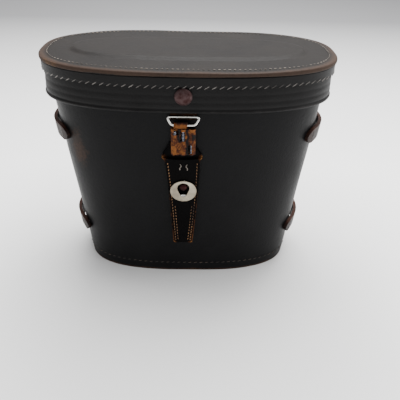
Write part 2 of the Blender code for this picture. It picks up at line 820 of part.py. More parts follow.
def tab_layer(name, top_points, depth):
    outline_points = [
        (-TAB_FOOT_HALF_WIDTH, TAB_FOOT_Z + TAB_FOOT_CORNER),
        (-TAB_FOOT_HALF_WIDTH + TAB_FOOT_CORNER, TAB_FOOT_Z),
        (TAB_FOOT_HALF_WIDTH - TAB_FOOT_CORNER, TAB_FOOT_Z),
        (TAB_FOOT_HALF_WIDTH, TAB_FOOT_Z + TAB_FOOT_CORNER),
        (TAB_EAR_HALF_WIDTH, TAB_EAR_Z),
        *top_points,
        (-TAB_EAR_HALF_WIDTH, TAB_EAR_Z),
    ]
    obj = plate_from(name, outline_points, TAB_LEATHER, holes=[slot_points()])
    obj.location = (CLASP_X, TAB_BACK_Y - depth - TAB_LEATHER / 2, 0)
    place(obj, black_leather)


def tab():
    """The front layer ends in a hollow under the sleeve, and the back layer runs up behind it."""
    shoulders = [(TAB_SHOULDER_HALF_WIDTH, TAB_SHOULDER_Z), (-TAB_SHOULDER_HALF_WIDTH, TAB_SHOULDER_Z)]
    tab_layer("tab_back", shoulders, 0.0)
    hollow = []
    for step in range(1, 10):
        share = step / 10
        x = mix(TAB_EAR_HALF_WIDTH, -TAB_EAR_HALF_WIDTH, share)
        hollow.append((x, TAB_EAR_Z - TAB_HOLLOW * math.sin(math.pi * share) ** 0.7))
    tab_layer("tab_front", hollow, TAB_LEATHER + GAP)


def keyhole_plate():
    """An oval nickel plate with a keyhole, round at the top and narrow at the foot."""
    rim = []
    for step in range(2 * ROUND_STEPS):
        turn = math.pi * step / ROUND_STEPS
        rim.append((PLATE_HALF_WIDTH * math.cos(turn), PLATE_Z + PLATE_HALF_HEIGHT * math.sin(turn)))
    hole = arc((0, KEYHOLE_ROUND_Z), KEYHOLE_RADIUS, -20, 200, 16)
    hole += arc((0, KEYHOLE_FOOT_Z), KEYHOLE_FOOT_RADIUS, 200, 340, 8)
    obj = plate_from("keyhole_plate", rim, PLATE, holes=[hole])
    obj.location = (CLASP_X, PLATE_Y - PLATE / 2, 0)
    place(obj, nickel)


# The joints


def pivot(name, centre, children):
    """An empty on the joint's axis that carries the pieces of the body that turns on it."""
    empty = bpy.data.objects.new(name, None)
    empty.location = centre
    CASE.objects.link(empty)
    bpy.context.view_layer.update()
    for child in children:
        bpy.data.objects[child].parent = empty
        bpy.data.objects[child].matrix_parent_inverse = empty.matrix_world.inverted()
    return empty


def pivots():
    lid = ("lid_top", "rim_band", "lid_skirt", "lid_lining", "hinge_strip_upper")
    lid += ("clasp_hanger", "clasp_rivet", "rivet_washer")
    pivot("lid_pivot", (0, HINGE_AXIS_Y, LIP_Z), lid)
    pivot("loop_pivot", (CLASP_X, LOOP_BAR_Y, LOOP_BAR_Z), ("wire_loop",))
    tab_pieces = ("spring_sleeve", "tab_front", "tab_back", "keyhole_plate")
    tab_pieces += tuple(f"coil_spring_{place_name}" for place_name in ("left", "middle", "right"))
    pivot("tab_pivot", (CLASP_X, LOOP_FOOT_Y, LOOP_FOOT_Z), tab_pieces)


body_wall()
base_panel()
mouth_collar()
body_lining()
base_pad()
back_strips()
strap_loops()
closure_stud()
lid_top()
lid_skirt()
rim_band()
lid_lining()
clasp_hanger()
clasp_rivet()
wire_loop()
spring_sleeve()
coil_springs()
tab()
keyhole_plate()
pivots()
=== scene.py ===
"""An old black leather binocular case: tapered body, hinged lid, hanging spring clasp with a keyhole tab."""

import math

import bpy
import numpy as np
from mathutils import Matrix, Vector, noise


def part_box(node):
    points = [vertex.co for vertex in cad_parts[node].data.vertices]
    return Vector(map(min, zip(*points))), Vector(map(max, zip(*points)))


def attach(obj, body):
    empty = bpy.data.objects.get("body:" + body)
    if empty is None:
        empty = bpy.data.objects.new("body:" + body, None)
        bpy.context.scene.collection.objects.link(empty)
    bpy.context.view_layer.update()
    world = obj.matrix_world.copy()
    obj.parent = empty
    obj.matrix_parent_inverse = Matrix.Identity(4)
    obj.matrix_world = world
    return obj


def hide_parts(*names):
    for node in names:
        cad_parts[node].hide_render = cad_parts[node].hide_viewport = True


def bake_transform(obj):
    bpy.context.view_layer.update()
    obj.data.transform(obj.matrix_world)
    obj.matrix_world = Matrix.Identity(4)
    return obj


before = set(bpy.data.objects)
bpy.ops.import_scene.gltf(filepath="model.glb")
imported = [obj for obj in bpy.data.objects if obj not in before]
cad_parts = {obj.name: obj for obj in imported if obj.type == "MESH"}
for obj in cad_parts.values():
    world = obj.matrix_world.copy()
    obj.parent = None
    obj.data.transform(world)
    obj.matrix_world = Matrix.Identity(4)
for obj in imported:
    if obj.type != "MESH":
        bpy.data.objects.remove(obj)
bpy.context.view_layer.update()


# The camera stands in front of the case and a little above it, as one looks at it on a table.
azimuth, elevation, roll = math.radians(-1.228), math.radians(34.736), math.radians(1.385)
looked_at = Vector((0.009478, 0.0, 0.036593))
stand_off = 0.363195
toward_camera = Vector(
    (
        math.sin(azimuth) * math.cos(elevation),
        -math.cos(azimuth) * math.cos(elevation),
        math.sin(elevation),
    )
)
bpy.ops.object.camera_add()
camera = bpy.context.object
camera.data.lens = 40.99
camera.data.sensor_width = 36.0
camera.data.clip_start = 0.01
camera.matrix_world = (
    Matrix.Translation(looked_at + toward_camera * stand_off)
    @ Matrix.Rotation(azimuth, 4, "Z")
    @ Matrix.Rotation(math.pi / 2 - elevation, 4, "X")
    @ Matrix.Rotation(roll, 4, "Z")
)
bpy.context.scene.camera = camera


# The studio: a pale painted table top, darkened towards the back as painted falloff of the light and round
# where the case stands as a painted shadow, and soft light from a large cloth overhead, from a smaller one at the
# right and from all round.


def step(tree, kind, inputs=None, **settings):
    """One step of a finish. Each input is a value or the output of an earlier step."""
    made = tree.nodes.new(kind)
    for key, value in settings.items():
        setattr(made, key, value)
    for key, value in (inputs or {}).items():
        if isinstance(value, bpy.types.NodeSocket):
            tree.links.new(value, made.inputs[key])
        else:
            made.inputs[key].default_value = value
    return made


def between(tree, value, low, high, to_low=0.0, to_high=1.0, **settings):
    """A value stretched from one range to another, and held inside it."""
    inputs = {"Value": value, "From Min": low, "From Max": high, "To Min": to_low, "To Max": to_high}
    return step(tree, "ShaderNodeMapRange", inputs, **settings).outputs["Result"]


def new_finish(name):
    """A new finish, its steps, its shader and where each point lies on the piece."""
    made = bpy.data.materials.new(name)
    made.use_nodes = True
    tree = made.node_tree
    return made, tree, tree.nodes["Principled BSDF"], step(tree, "ShaderNodeTexCoord").outputs["Object"]


def shade(red, green, blue):
    """A colour as it is seen, from 0 to 255, for a shader."""
    seen = [c / 255 for c in (red, green, blue)]
    return (*[c / 12.92 if c < 0.04045 else ((c + 0.055) / 1.055) ** 2.4 for c in seen], 1.0)


def name_it(name):
    """Names the piece just made."""
    piece = bpy.context.object
    piece.name = piece.data.name = name
    return piece


bpy.ops.mesh.primitive_plane_add(size=6.0)
table_top = bpy.context.object
table_top.name = "table_top"
light_falloff_from, light_falloff_to = 0.12, 0.75
# Where the painted shadow round the case is fullest, where it has gone, and its centre.
shadow_full_to, shadow_gone_from, shadow_centre_offset = 0.09, 0.26, (0.0, 0.07, 0.0)
painted, tree, paint, spot = new_finish("painted_table")
paint.inputs["Roughness"].default_value = 0.6
paint.inputs["Specular IOR Level"].default_value = 0.2
far_away = step(tree, "ShaderNodeSeparateXYZ", {"Vector": spot}).outputs["Y"]
# The table's colour is painted darker towards the back: painted falloff of the light, not a change in its paint.
painted_falloff_tint = step(tree, "ShaderNodeValToRGB", {"Fac": between(tree, far_away, light_falloff_from, light_falloff_to)})
painted_falloff_tint.color_ramp.elements[0].color = shade(249, 249, 248)
painted_falloff_tint.color_ramp.elements[1].color = shade(136, 136, 137)
# A painted shadow: the table's colour is darkened round where the case stands, in place of the soft shade under and
# in front of it.
from_shadow_centre = step(tree, "ShaderNodeVectorMath", {0: spot, 1: shadow_centre_offset}, operation="ADD").outputs["Vector"]
reach = step(tree, "ShaderNodeVectorMath", {0: from_shadow_centre}, operation="LENGTH").outputs["Value"]
painted_shadow_share = between(tree, reach, shadow_full_to, shadow_gone_from, 0.78, 1.0, interpolation_type="SMOOTHSTEP")
dulled = step(tree, "ShaderNodeVectorMath", {0: painted_falloff_tint.outputs["Color"], "Scale": painted_shadow_share}, operation="SCALE")
tree.links.new(dulled.outputs["Vector"], paint.inputs["Base Color"])
table_top.data.materials.append(painted)

room = bpy.data.worlds.new("soft_room")
bpy.context.scene.world = room
room.use_nodes = True
room.node_tree.nodes["Background"].inputs["Color"].default_value = shade(250, 250, 252)
room.node_tree.nodes["Background"].inputs["Strength"].default_value = 0.85

for name, spot, size, power in (
    ("cloth_overhead", (0.1, 0.38, 1.0), 0.9, 36.0),
    ("cloth_right", (1.0, -0.2, 0.6), 0.8, 6.0),
):
    bpy.ops.object.light_add(type="AREA", location=spot)
    lamp = bpy.context.object
    lamp.name = name
    lamp.data.size = size
    lamp.data.energy = power
    lamp.rotation_euler = (Vector((0, 0, 0.08)) - lamp.location).to_track_quat("-Z", "Y").to_euler()


# The wall of the body: one sheet of harness leather, 2.4 mm thick, wetted, rolled round a wooden last and
# butted at the back. Its foot is a raw cut edge, burnished brown, and the dye is scuffed off at one corner.
foot_form = (0.0775, 0.0414, 2.85)
mouth_form = (0.0898, 0.0427, 2.6)
back_dip, back_dip_width = 0.0030, 0.033
wall_thickness = 0.0024
gap = 0.0003
lip_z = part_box("lid_skirt")[0].z
wall_top_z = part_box("body_wall")[1].z


def body_form(z):
    """Half width, half depth and squareness of the body's outline at a height."""
    share = z / lip_z
    return tuple(low + (high - low) * share for low, high in zip(foot_form, mouth_form))


def near(distance, reach):
    """1 at a place, and fading away to nothing a little beyond its reach."""
    return np.exp(-((distance / reach) ** 2))


def dip(x):
    """How far the back is drawn in, between its two soft humps."""
    return back_dip * near(x, back_dip_width)


def plan(half_width, half_depth, squareness, count):
    """Even steps round an outline, from the back middle: points, outward directions and the length round."""
    turn = np.linspace(0.5, 2.5, 4001) * math.pi
    across = np.sign(np.cos(turn)) * np.abs(np.cos(turn)) ** (2 / squareness)
    along = np.sign(np.sin(turn)) * np.abs(np.sin(turn)) ** (2 / squareness)
    x, y = half_width * across, half_depth * along
    if half_depth > 0:
        y = y - np.where(y > 0, dip(x) * along * min(1.0, half_depth / foot_form[1]), 0.0)
    run = np.concatenate([[0.0], np.cumsum(np.hypot(np.diff(x), np.diff(y)))])
    even = np.linspace(0.0, run[-1], count + 1)
    points = np.column_stack([np.interp(even, run, x), np.interp(even, run, y)])
    ahead = np.roll(points[:-1], -1, axis=0) - np.roll(points[:-1], 1, axis=0)
    ahead = np.vstack([ahead, ahead[:1]])
    outward = np.column_stack([ahead[:, 1], -ahead[:, 0]])
    outward /= np.maximum(np.linalg.norm(outward, axis=1), 1e-12)[:, None]
    return points, outward, run[-1]


def face_y(form, x, z, side):
    """Y of a form's surface at x, on the front (side -1) or the back (side +1)."""
    half_width, half_depth, squareness = form
    y = half_depth * (1 - np.abs(x / half_width) ** squareness) ** (1 / squareness)
    return side * (y - dip(x) * y / half_depth if side > 0 else y)


def cut_sheet(name, columns, rows, lay):
    """A blank cut as a flat grid, with its points laid where lay(u, v) says, u and v from 0 to 1."""
    bpy.ops.mesh.primitive_grid_add(x_subdivisions=columns, y_subdivisions=rows, size=1)
    piece = name_it(name)
    flat = np.zeros(len(piece.data.vertices) * 3)
    piece.data.vertices.foreach_get("co", flat)
    flat = flat.reshape(-1, 3) + 0.5
    laid = np.column_stack(lay(flat[:, 0], flat[:, 1]))
    piece.data.vertices.foreach_set("co", laid.ravel())
    piece.data.update()
    return piece


def take_up(piece):
    """Takes one piece in hand, and puts the others down."""
    bpy.ops.object.select_all(action="DESELECT")
    piece.select_set(True)
    bpy.context.view_layer.objects.active = piece


def open_up(choose="SELECT"):
    """Opens the piece in hand, for work on its points and faces."""
    bpy.ops.object.mode_set(mode="EDIT")
    bpy.ops.mesh.select_all(action=choose)


def close_up():
    bpy.ops.object.mode_set(mode="OBJECT")


def close_seams(piece, reach=0.000002):
    """Joins the edges that meet, and turns every face outwards."""
    take_up(piece)
    open_up()
    bpy.ops.mesh.remove_doubles(threshold=reach)
    bpy.ops.mesh.dissolve_degenerate(threshold=reach / 10)
    bpy.ops.mesh.select_all(action="SELECT")
    bpy.ops.mesh.normals_make_consistent(inside=False)
    close_up()


def turn_out(piece, outward):
    """Flips an open sheet if its face doesn't look the way that outward(centre) says."""
    looks = sum(p.area * p.normal.dot(outward(p.center)) for p in piece.data.polygons)
    if looks < 0:
        piece.data.flip_normals()


def from_the_axis(centre):
    return Vector((centre.x, centre.y, 0))


def to_the_front(_centre):
    return Vector((0, -1, 0))


def to_the_back(_centre):
    return Vector((0, 1, 0))


def finish_with(piece, kind, **settings):
    """Adds a modifier and applies it."""
    take_up(piece)
    made = piece.modifiers.new(kind.lower(), kind)
    for key, value in settings.items():
        setattr(made, key, value)
    bpy.ops.object.modifier_apply(modifier=made.name)


def round_edges(piece, width):
    angle = math.radians(50)
    finish_with(piece, "BEVEL", width=width, segments=3, limit_method="ANGLE", angle_limit=angle)


def smooth(piece, angle=45):
    take_up(piece)
    bpy.ops.object.shade_smooth_by_angle(angle=math.radians(angle))


def settle(piece, depth, size):
    """Moves each point a hair in or out, as leather settles out of true with age."""
    piece.data.update()
    moves = [v.normal * (depth * noise.noise(v.co / size)) for v in piece.data.vertices]
    for vertex, move in zip(piece.data.vertices, moves):
        vertex.co += move
    piece.data.update()


def make_up(piece, outward, thickness, round_edge, settled=None, outwards=True, angle=45):
    """Makes a blank up: its face outwards, settled with age, thick, and its cut edges rounded."""
    turn_out(piece, outward)
    if settled:
        settle(piece, *settled)
    finish_with(piece, "SOLIDIFY", thickness=thickness, offset=1.0 if outwards else -1.0, use_even_offset=True)
    round_edges(piece, round_edge)
    smooth(piece, angle)


def rolled(name, rings, count):
    """A sheet rolled round the form. Each ring is a half width, a half depth, a squareness and a height."""
    table = []
    for half_width, half_depth, squareness, z in rings:
        points = plan(half_width, half_depth, squareness, count)[0]
        table.append(np.column_stack([points, np.full(count + 1, z)]))
    table = np.array(table)

    def lay(u, v):
        places = table[np.rint(v * (len(rings) - 1)).astype(int), np.rint(u * count).astype(int)]
        return places.T

    piece = cut_sheet(name, count, len(rings) - 1, lay)
    close_seams(piece)
    return piece


def hoop(name, rings, count, thickness, round_edge, settled=None):
    """A hoop of leather or felt, rolled round the form with its thickness inwards."""
    piece = rolled(name, rings, count)
    make_up(piece, from_the_axis, thickness, round_edge, settled, outwards=False)
    return piece


def mark_wear_and_light(piece, rule):
    """How far the dye has rubbed off at each point, from 0 to 1, by rule(x, y, z). On the lid side and the pocket's
    fold the rule also paints light or shade into it.
    """
    places = np.zeros(len(piece.data.vertices) * 3)
    piece.data.vertices.foreach_get("co", places)
    x, y, z = places.reshape(-1, 3).T
    wear_and_painted_light = piece.data.attributes.new("wear_and_painted_light", "FLOAT", "POINT")
    wear_and_painted_light.data.foreach_set("value", np.clip(rule(x, y, z), 0, 1).astype(np.float32))


def mixed(tree, share, first, second):
    """A colour part way from the first to the second."""
    return step(tree, "ShaderNodeMix", {0: share, 6: first, 7: second}, data_type="RGBA").outputs[2]


def reckon(tree, operation, first, second=0.0):
    return step(tree, "ShaderNodeMath", {0: first, 1: second}, operation=operation).outputs["Value"]


def clouds(tree, place, count, detail, roughness=0.5):
    """Soft cloudy patches, about so many to the metre."""
    inputs = {"Vector": place, "Scale": count, "Detail": detail, "Roughness": roughness}
    return step(tree, "ShaderNodeTexNoise", inputs).outputs["Fac"]


def raised(tree, strength, distance, height, under=None, **settings):
    """Fine relief on a surface, over the relief that is under it."""
    inputs = {"Strength": strength, "Distance": distance, "Height": height}
    if under is not None:
        inputs["Normal"] = under
    return step(tree, "ShaderNodeBump", inputs, **settings).outputs["Normal"]


def leather(
    name, dye, cloud_dye, brown, bare, roughness, gloss=0.25, sheen=0.0, pebble=0.0009, ragged=0.55, relief=1.0
):
    """Dyed leather with a pebble grain. Where it has rubbed it goes brown, and then down to the bare hide; where a
    piece paints light or shade into its wear, the same colours carry it.
    """
    made, tree, skin, place = new_finish(name)
    cloud = clouds(tree, place, 45.0, 6.0, 0.65)
    specks = clouds(tree, place, 420.0, 5.0, 0.7)
    grain = step(tree, "ShaderNodeTexVoronoi", {"Vector": place, "Scale": 1 / pebble}, feature="SMOOTH_F1")
    grain = grain.outputs["Distance"]
    wear_and_painted_light = step(tree, "ShaderNodeAttribute", attribute_name="wear_and_painted_light").outputs["Fac"]
    surface = mixed(tree, between(tree, cloud, 0.35, 0.68), shade(*dye), shade(*cloud_dye))
    blotches = reckon(tree, "SUBTRACT", reckon(tree, "ADD", cloud, specks), 1.0)
    torn_and_lit = reckon(tree, "ADD", wear_and_painted_light, reckon(tree, "MULTIPLY", blotches, ragged))
    surface = mixed(tree, between(tree, torn_and_lit, 0.25, 0.5), surface, shade(*brown))
    surface = mixed(tree, between(tree, torn_and_lit, 0.6, 0.85), surface, shade(*bare))
    crevice = between(tree, grain, 0.35, 0.8, 1.0, 0.8)
    surface = mixed(tree, crevice, shade(0, 0, 0), surface)
    tree.links.new(surface, skin.inputs["Base Color"])
    dulled = reckon(tree, "ADD", cloud, torn_and_lit)
    spread = between(tree, dulled, 0.3, 1.4, roughness - 0.05, roughness + 0.2)
    tree.links.new(spread, skin.inputs["Roughness"])
    skin.inputs["Specular IOR Level"].default_value = gloss
    skin.inputs["Sheen Weight"].default_value = sheen
    skin.inputs["Sheen Roughness"].default_value = 0.45
    skin.inputs["Sheen Tint"].default_value = shade(230, 222, 216)
    pebbles = raised(tree, 0.25 * relief, 0.0002, grain, invert=True)
    creases = raised(tree, 0.35 * relief, 0.0004, specks, pebbles)
    tree.links.new(creases, skin.inputs["Normal"])
    return made


def cover(piece, material):
    """Gives a piece its one material."""
    piece.data.materials.clear()
    piece.data.materials.append(material)


def dress(piece, material, body, replaces=(), worn_and_lit=None):
    """Gives a finished piece its wear, with any painted light, and its material, and puts it on its body."""
    if worn_and_lit:
        mark_wear_and_light(piece, worn_and_lit)
    cover(piece, material)
    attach(piece, body)
    if replaces:
        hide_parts(*replaces)


def body_ring(z, out=0.0):
    half_width, half_depth, squareness = body_form(z)
    return half_width + out, half_depth + out, squareness, z


round_steps = 320
foot_levels = [0.0, 0.0005, 0.001, 0.0016, 0.0024, 0.0034, 0.0046, 0.006, 0.0074, 0.009, 0.011]
wall_levels = foot_levels + list(np.linspace(0.0135, wall_top_z, 42))
wall_rings = [body_ring(z) for z in wall_levels]
body_shell = hoop("body_shell", wall_rings, round_steps, wall_thickness, 0.0005, (0.0004, 0.035))
scuff_x, scuff_z = -0.073, 0.098


def wall_rub(x, y, z):
    foot = 0.62 * near(z, 0.0022)
    corner = 0.40 * near(x - scuff_x, 0.0075) * near(z - scuff_z, 0.022) * (y < 0)
    right = 0.10 * near(x - 0.055, 0.030) * near(z - 0.09, 0.04) * (y < 0)
    return 0.03 + foot + corner + right


wall_leather = leather(
    "wall_leather", (7, 7, 8), (13, 13, 14), (52, 37, 28), (104, 70, 44), 0.44, gloss=0.09, sheen=0.012
)
dress(body_shell, wall_leather, "case_body", ["body_wall"], worn_and_lit=wall_rub)


# The bottom: a leather-covered board with an upturned flange, pushed up into the foot of the wall and sewn
# through it. The stitches run round the case just above its foot.
board_inset = wall_thickness + gap
flange, board, flange_top_z = 0.0018, 0.0030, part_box("base_panel")[1].z
centre_ring = (0.0, 0.0, foot_form[2])
board_rings = [
    (*centre_ring, 0.0004),
    (*body_ring(0.0, -board_inset - 0.012)[:3], 0.0003),
    (*body_ring(0.0, -board_inset - 0.0006)[:3], 0.0),
    (*body_ring(0.0, -board_inset)[:3], 0.0005),
    body_ring(flange_top_z / 2, -board_inset),
    body_ring(flange_top_z - 0.0003, -board_inset),
    body_ring(flange_top_z, -board_inset - 0.0003),
    body_ring(flange_top_z, -board_inset - flange + 0.0003),
    body_ring(flange_top_z - 0.0003, -board_inset - flange),
    body_ring(board, -board_inset - flange),
    (*centre_ring, board),
]
base_board = rolled("base_board", board_rings, 192)
smooth(base_board)
mark_wear_and_light(base_board, lambda x, y, z: 0.45 * near(z, 0.0015))
dress(base_board, wall_leather, "case_body", ["base_panel"])


def thread(name, colour, dirt):
    """Waxed linen thread, darkened in places by old polish."""
    made, tree, skin, place = new_finish(name)
    fibre = {"Vector": place, "Scale": 900.0, "Distortion": 2.0}
    fibre = step(tree, "ShaderNodeTexWave", fibre, bands_direction="DIAGONAL").outputs["Fac"]
    share = between(tree, clouds(tree, place, 70.0, 4.0, 0.7), 0.38, 0.62)
    tree.links.new(mixed(tree, share, shade(*dirt), shade(*colour)), skin.inputs["Base Color"])
    skin.inputs["Roughness"].default_value = 0.75
    tree.links.new(raised(tree, 0.4, 0.0001, fibre), skin.inputs["Normal"])
    return made


def sew(name, places, made_of, body, length=0.0026, thickness=0.0006):
    """Sews a row of stitches. Each place is a point, the way the stitch runs and the way out of the leather."""
    bpy.ops.mesh.primitive_uv_sphere_add(segments=8, ring_count=5, radius=0.5)
    model = bpy.context.object
    open_up()
    bpy.ops.transform.rotate(value=math.pi / 2, orient_axis="Y", center_override=(0, 0, 0))
    bpy.ops.transform.resize(value=(length, thickness, thickness))
    close_up()
    bpy.ops.object.shade_smooth()
    row = []
    for point, along, out in places:
        along, out = Vector(along).normalized(), Vector(out).normalized()
        side = out.cross(along).normalized()
        turn = Matrix((along, side, along.cross(side))).transposed().to_4x4()
        stitch = model.copy()
        stitch.data = model.data.copy()
        bpy.context.collection.objects.link(stitch)
        stitch.data.transform(Matrix.Translation(point) @ turn)
        row.append(stitch)
    bpy.data.objects.remove(model)
    take_up(row[0])
    for stitch in row:
        stitch.select_set(True)
    bpy.ops.object.join()
    dress(name_it(name), made_of, body)


def evenly_round(form, pitch):
    """Even steps round a form, a stitch's pitch apart: each a point and the way out there."""
    length = plan(*form, 8)[2]
    points, outward, _ = plan(*form, round(length / pitch))
    return zip(points[:-1], outward[:-1])


def places_round(form, z, out, pitch, slant):
    """Stitch places all the way round a form at one height, each slanted by an angle in degrees."""
    slant = math.radians(slant)
    places = []
    for (x, y), (out_x, out_y) in evenly_round(form, pitch):
        normal = Vector((out_x, out_y, 0))
        along = Vector((-out_y, out_x, 0)) * math.cos(slant) + Vector((0, 0, math.sin(slant)))
        places.append((Vector((x, y, z)) + normal * out, along, normal))
    return places


base_row_z, base_pitch, base_slant = 0.0079, 0.0042, 14
grey_thread = thread("grey_thread", (122, 117, 112), (50, 46, 43))
base_thread = thread("base_thread", (66, 54, 45), (24, 21, 19))
base_places = places_round(body_form(base_row_z), base_row_z, 0.0001, base_pitch, base_slant)
sew("base_stitches", base_places, base_thread, "case_body")


# The mouth collar and the lining: a thin band of leather glued inside the mouth, which the lid slips over, and
# brown felt glued inside the body, with a loose felt pad on its floor.
collar_thickness, collar_below, collar_above = 0.0018, 0.012, 0.0116


def upright_ring(z, inset):
    """A ring inside the body, which stands upright above the lip."""
    return (*body_ring(min(z, lip_z), -inset)[:3], z)


collar_rings = [upright_ring(z, board_inset) for z in np.linspace(lip_z - collar_below, lip_z + collar_above, 9)]
collar = hoop("collar", collar_rings, 256, collar_thickness, 0.0006)
collar_top_z = lip_z + collar_above
mark_wear_and_light(collar, lambda x, y, z: 0.6 * near(z - collar_top_z, 0.0016) + 0.12)
dress(collar, wall_leather, "case_body", ["mouth_collar"])


def felt(name, colour, fleck):
    """Pressed wool felt, matt and fuzzy."""
    made, tree, skin, place = new_finish(name)
    fibres = clouds(tree, place, 1400.0, 6.0, 0.8)
    share = reckon(tree, "MULTIPLY", fibres, clouds(tree, place, 40.0, 3.0))
    share = between(tree, share, 0.12, 0.4)
    tree.links.new(mixed(tree, share, shade(*colour), shade(*fleck)), skin.inputs["Base Color"])
    skin.inputs["Roughness"].default_value = 0.95
    skin.inputs["Sheen Weight"].default_value = 0.5
    skin.inputs["Sheen Roughness"].default_value = 0.6
    tree.links.new(raised(tree, 0.6, 0.0004, fibres), skin.inputs["Normal"])
    return made


brown_felt = felt("brown_felt", (62, 42, 34), (92, 68, 56))
lining_inset = board_inset + collar_thickness + gap
lining_low_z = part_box("body_lining")[0].z
lining_rings = [upright_ring(z, lining_inset) for z in np.linspace(lining_low_z, collar_top_z, 12)]
felt_lining = hoop("felt_lining", lining_rings, 192, 0.0008, 0.0003)
dress(felt_lining, brown_felt, "case_body", ["body_lining"])

pad_low_z, pad_high_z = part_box("base_pad")[0].z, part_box("base_pad")[1].z
pad_rings = [
    (*centre_ring, pad_low_z),
    (*body_ring(pad_low_z, -lining_inset - 0.0006)[:3], pad_low_z),
    (*body_ring(pad_low_z, -lining_inset)[:3], pad_low_z + 0.0006),
    (*body_ring(pad_high_z, -lining_inset)[:3], pad_high_z - 0.0008),
    (*body_ring(pad_high_z, -lining_inset - 0.0009)[:3], pad_high_z),
    (*body_ring(pad_high_z, -lining_inset - 0.02)[:3], pad_high_z - 0.0001),
    (*centre_ring, pad_high_z),
]
floor_pad = rolled("floor_pad", pad_rings, 160)
smooth(floor_pad)
dress(floor_pad, brown_felt, "case_body", ["base_pad"])


# The seam cover: a strip of thin leather sewn down over the butted seam in the middle of the back.


def line_of_stitches(start, end, pitch, surface_y, side, slant=0.0):
    """Stitch places along a straight line in front view, on the surface that surface_y(x, z) gives."""
    start, end = Vector(start), Vector(end)
    count = max(2, round((end - start).length / pitch))
    places = []
    for index in range(count):
        x, z = start.lerp(end, (index + 0.5) / count)
        ahead_x, ahead_z = start.lerp(end, (index + 0.6) / count)
        point = Vector((x, surface_y(x, z), z))
        along = Vector((ahead_x, surface_y(ahead_x, ahead_z), ahead_z)) - point
        normal = Vector((0, side, 0))
        along.rotate(Matrix.Rotation(math.radians(slant), 3, normal))
        places.append((point, along, normal))
    return places


cover_low, cover_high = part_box("back_seam_cover")
cover_half, cover_thickness, cover_margin = cover_high.x, 0.0016, 0.0028


def cover_seat(x, z):
    return float(face_y(body_form(z), x, z, 1)) + gap


def lay_cover(u, v):
    x = cover_low.x + (cover_high.x - cover_low.x) * u
    z = cover_low.z + (cover_high.z - cover_low.z) * v
    return x, np.array([cover_seat(a, b) for a, b in zip(x, z)]), z


seam_cover = cut_sheet("seam_cover", 20, 60, lay_cover)
make_up(seam_cover, to_the_back, cover_thickness, cover_thickness * 0.3, (0.0002, 0.02))


def cover_rub(x, y, z):
    edge = np.minimum(cover_half - np.abs(x), np.minimum(z - cover_low.z, cover_high.z - z))
    return 0.05 + 0.5 * near(edge, 0.0012)


dress(seam_cover, wall_leather, "case_body", ["back_seam_cover"], worn_and_lit=cover_rub)


def cover_face(x, z):
    return cover_seat(x, z) + cover_thickness


row_pitch = 0.0040
cover_places = []
for x in (-cover_half + cover_margin, cover_half - cover_margin):
    line = (x, cover_low.z + 0.003), (x, cover_high.z - 0.003)
    cover_places += line_of_stitches(*line, row_pitch, cover_face, 1)
sew("cover_stitches", cover_places, grey_thread, "case_body")


# The strap loops: four strips of thick leather sewn flat at their ends on the side walls, with the middle left
# standing out for a shoulder strap. Their cut edges are raw and brown, their faces rubbed to a shine.
loop_height, loop_leather, loop_bulge, loop_flat_end = 0.0105, 0.0024, 0.0024, 0.007
loop_end_margin, loop_row_inset = 0.0164, 0.0045
strap_leather = leather(
    "strap_leather", (18, 12, 10), (28, 18, 15), (52, 30, 22), (78, 46, 31), 0.48, gloss=0.14, ragged=0.5
)


def side_point(y, z, out, side):
    """A point that stands out from the side wall, and the way out there."""
    half_width, half_depth, squareness = body_form(z)
    x = half_width * (1 - np.abs(y / half_depth) ** squareness) ** (1 / squareness)
    out_x = x ** (squareness - 1) / half_width**squareness
    out_y = np.sign(y) * np.abs(y) ** (squareness - 1) / half_depth**squareness
    length = np.hypot(out_x, out_y)
    return side * (x + out_x / length * out), y + out_y / length * out, side * out_x / length, out_y / length


def loop_stand(y, half_bulge):
    """How far a loop stands out along its length."""
    share = np.clip(np.abs(y) / half_bulge, 0, 1)
    return np.where(share < 1, loop_bulge * np.cos(math.pi / 2 * share) ** 1.2, 0.0)


for level in ("upper", "lower"):
    for hand, side in (("left", -1), ("right", 1)):
        node = f"strap_loop_{level}_{hand}"
        loop_low, loop_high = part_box(node)
        middle_z = (loop_low.z + loop_high.z) / 2
        half_reach = body_form(middle_z)[1] - loop_end_margin

        def lay_loop(u, v):
            y = (2 * u - 1) * half_reach
            end = np.clip((np.abs(y) - half_reach + loop_height / 2) / (loop_height / 2), 0, 1)
            half = loop_height / 2 * np.sqrt(np.maximum(1 - end**2, 0.01))
            z = middle_z + (2 * v - 1) * half
            x, y_out, _, _ = side_point(y, z, gap + loop_stand(y, half_reach - loop_flat_end), side)
            return x, y_out, z

        strap_loop = cut_sheet(f"strap_loop_leather_{level}_{hand}", 90, 12, lay_loop)
        make_up(strap_loop, from_the_axis, loop_leather, 0.00045)

        def loop_rub(x, y, z):
            edge = loop_height / 2 - np.abs(z - middle_z)
            return 0.32 + 0.32 * near(edge, 0.0011)

        dress(strap_loop, strap_leather, "case_body", [node], worn_and_lit=loop_rub)
        loop_places = []
        for y in (-half_reach + loop_row_inset, half_reach - loop_row_inset):
            for share in (-0.6, 0.0, 0.6):
                z = middle_z + share * loop_height / 2 * 0.8
                x, y_out, out_x, out_y = side_point(y, z, gap + loop_leather, side)
                loop_places.append((Vector((x, y_out, z)), Vector((0, 0, 1)), Vector((out_x, out_y, 0))))
        sew(f"loop_stitches_{level}_{hand}", loop_places, grey_thread, "case_body", length=0.0024)


# The stud: a knob turned from brass rod and chemically darkened, riveted through the wall over a washer inside.


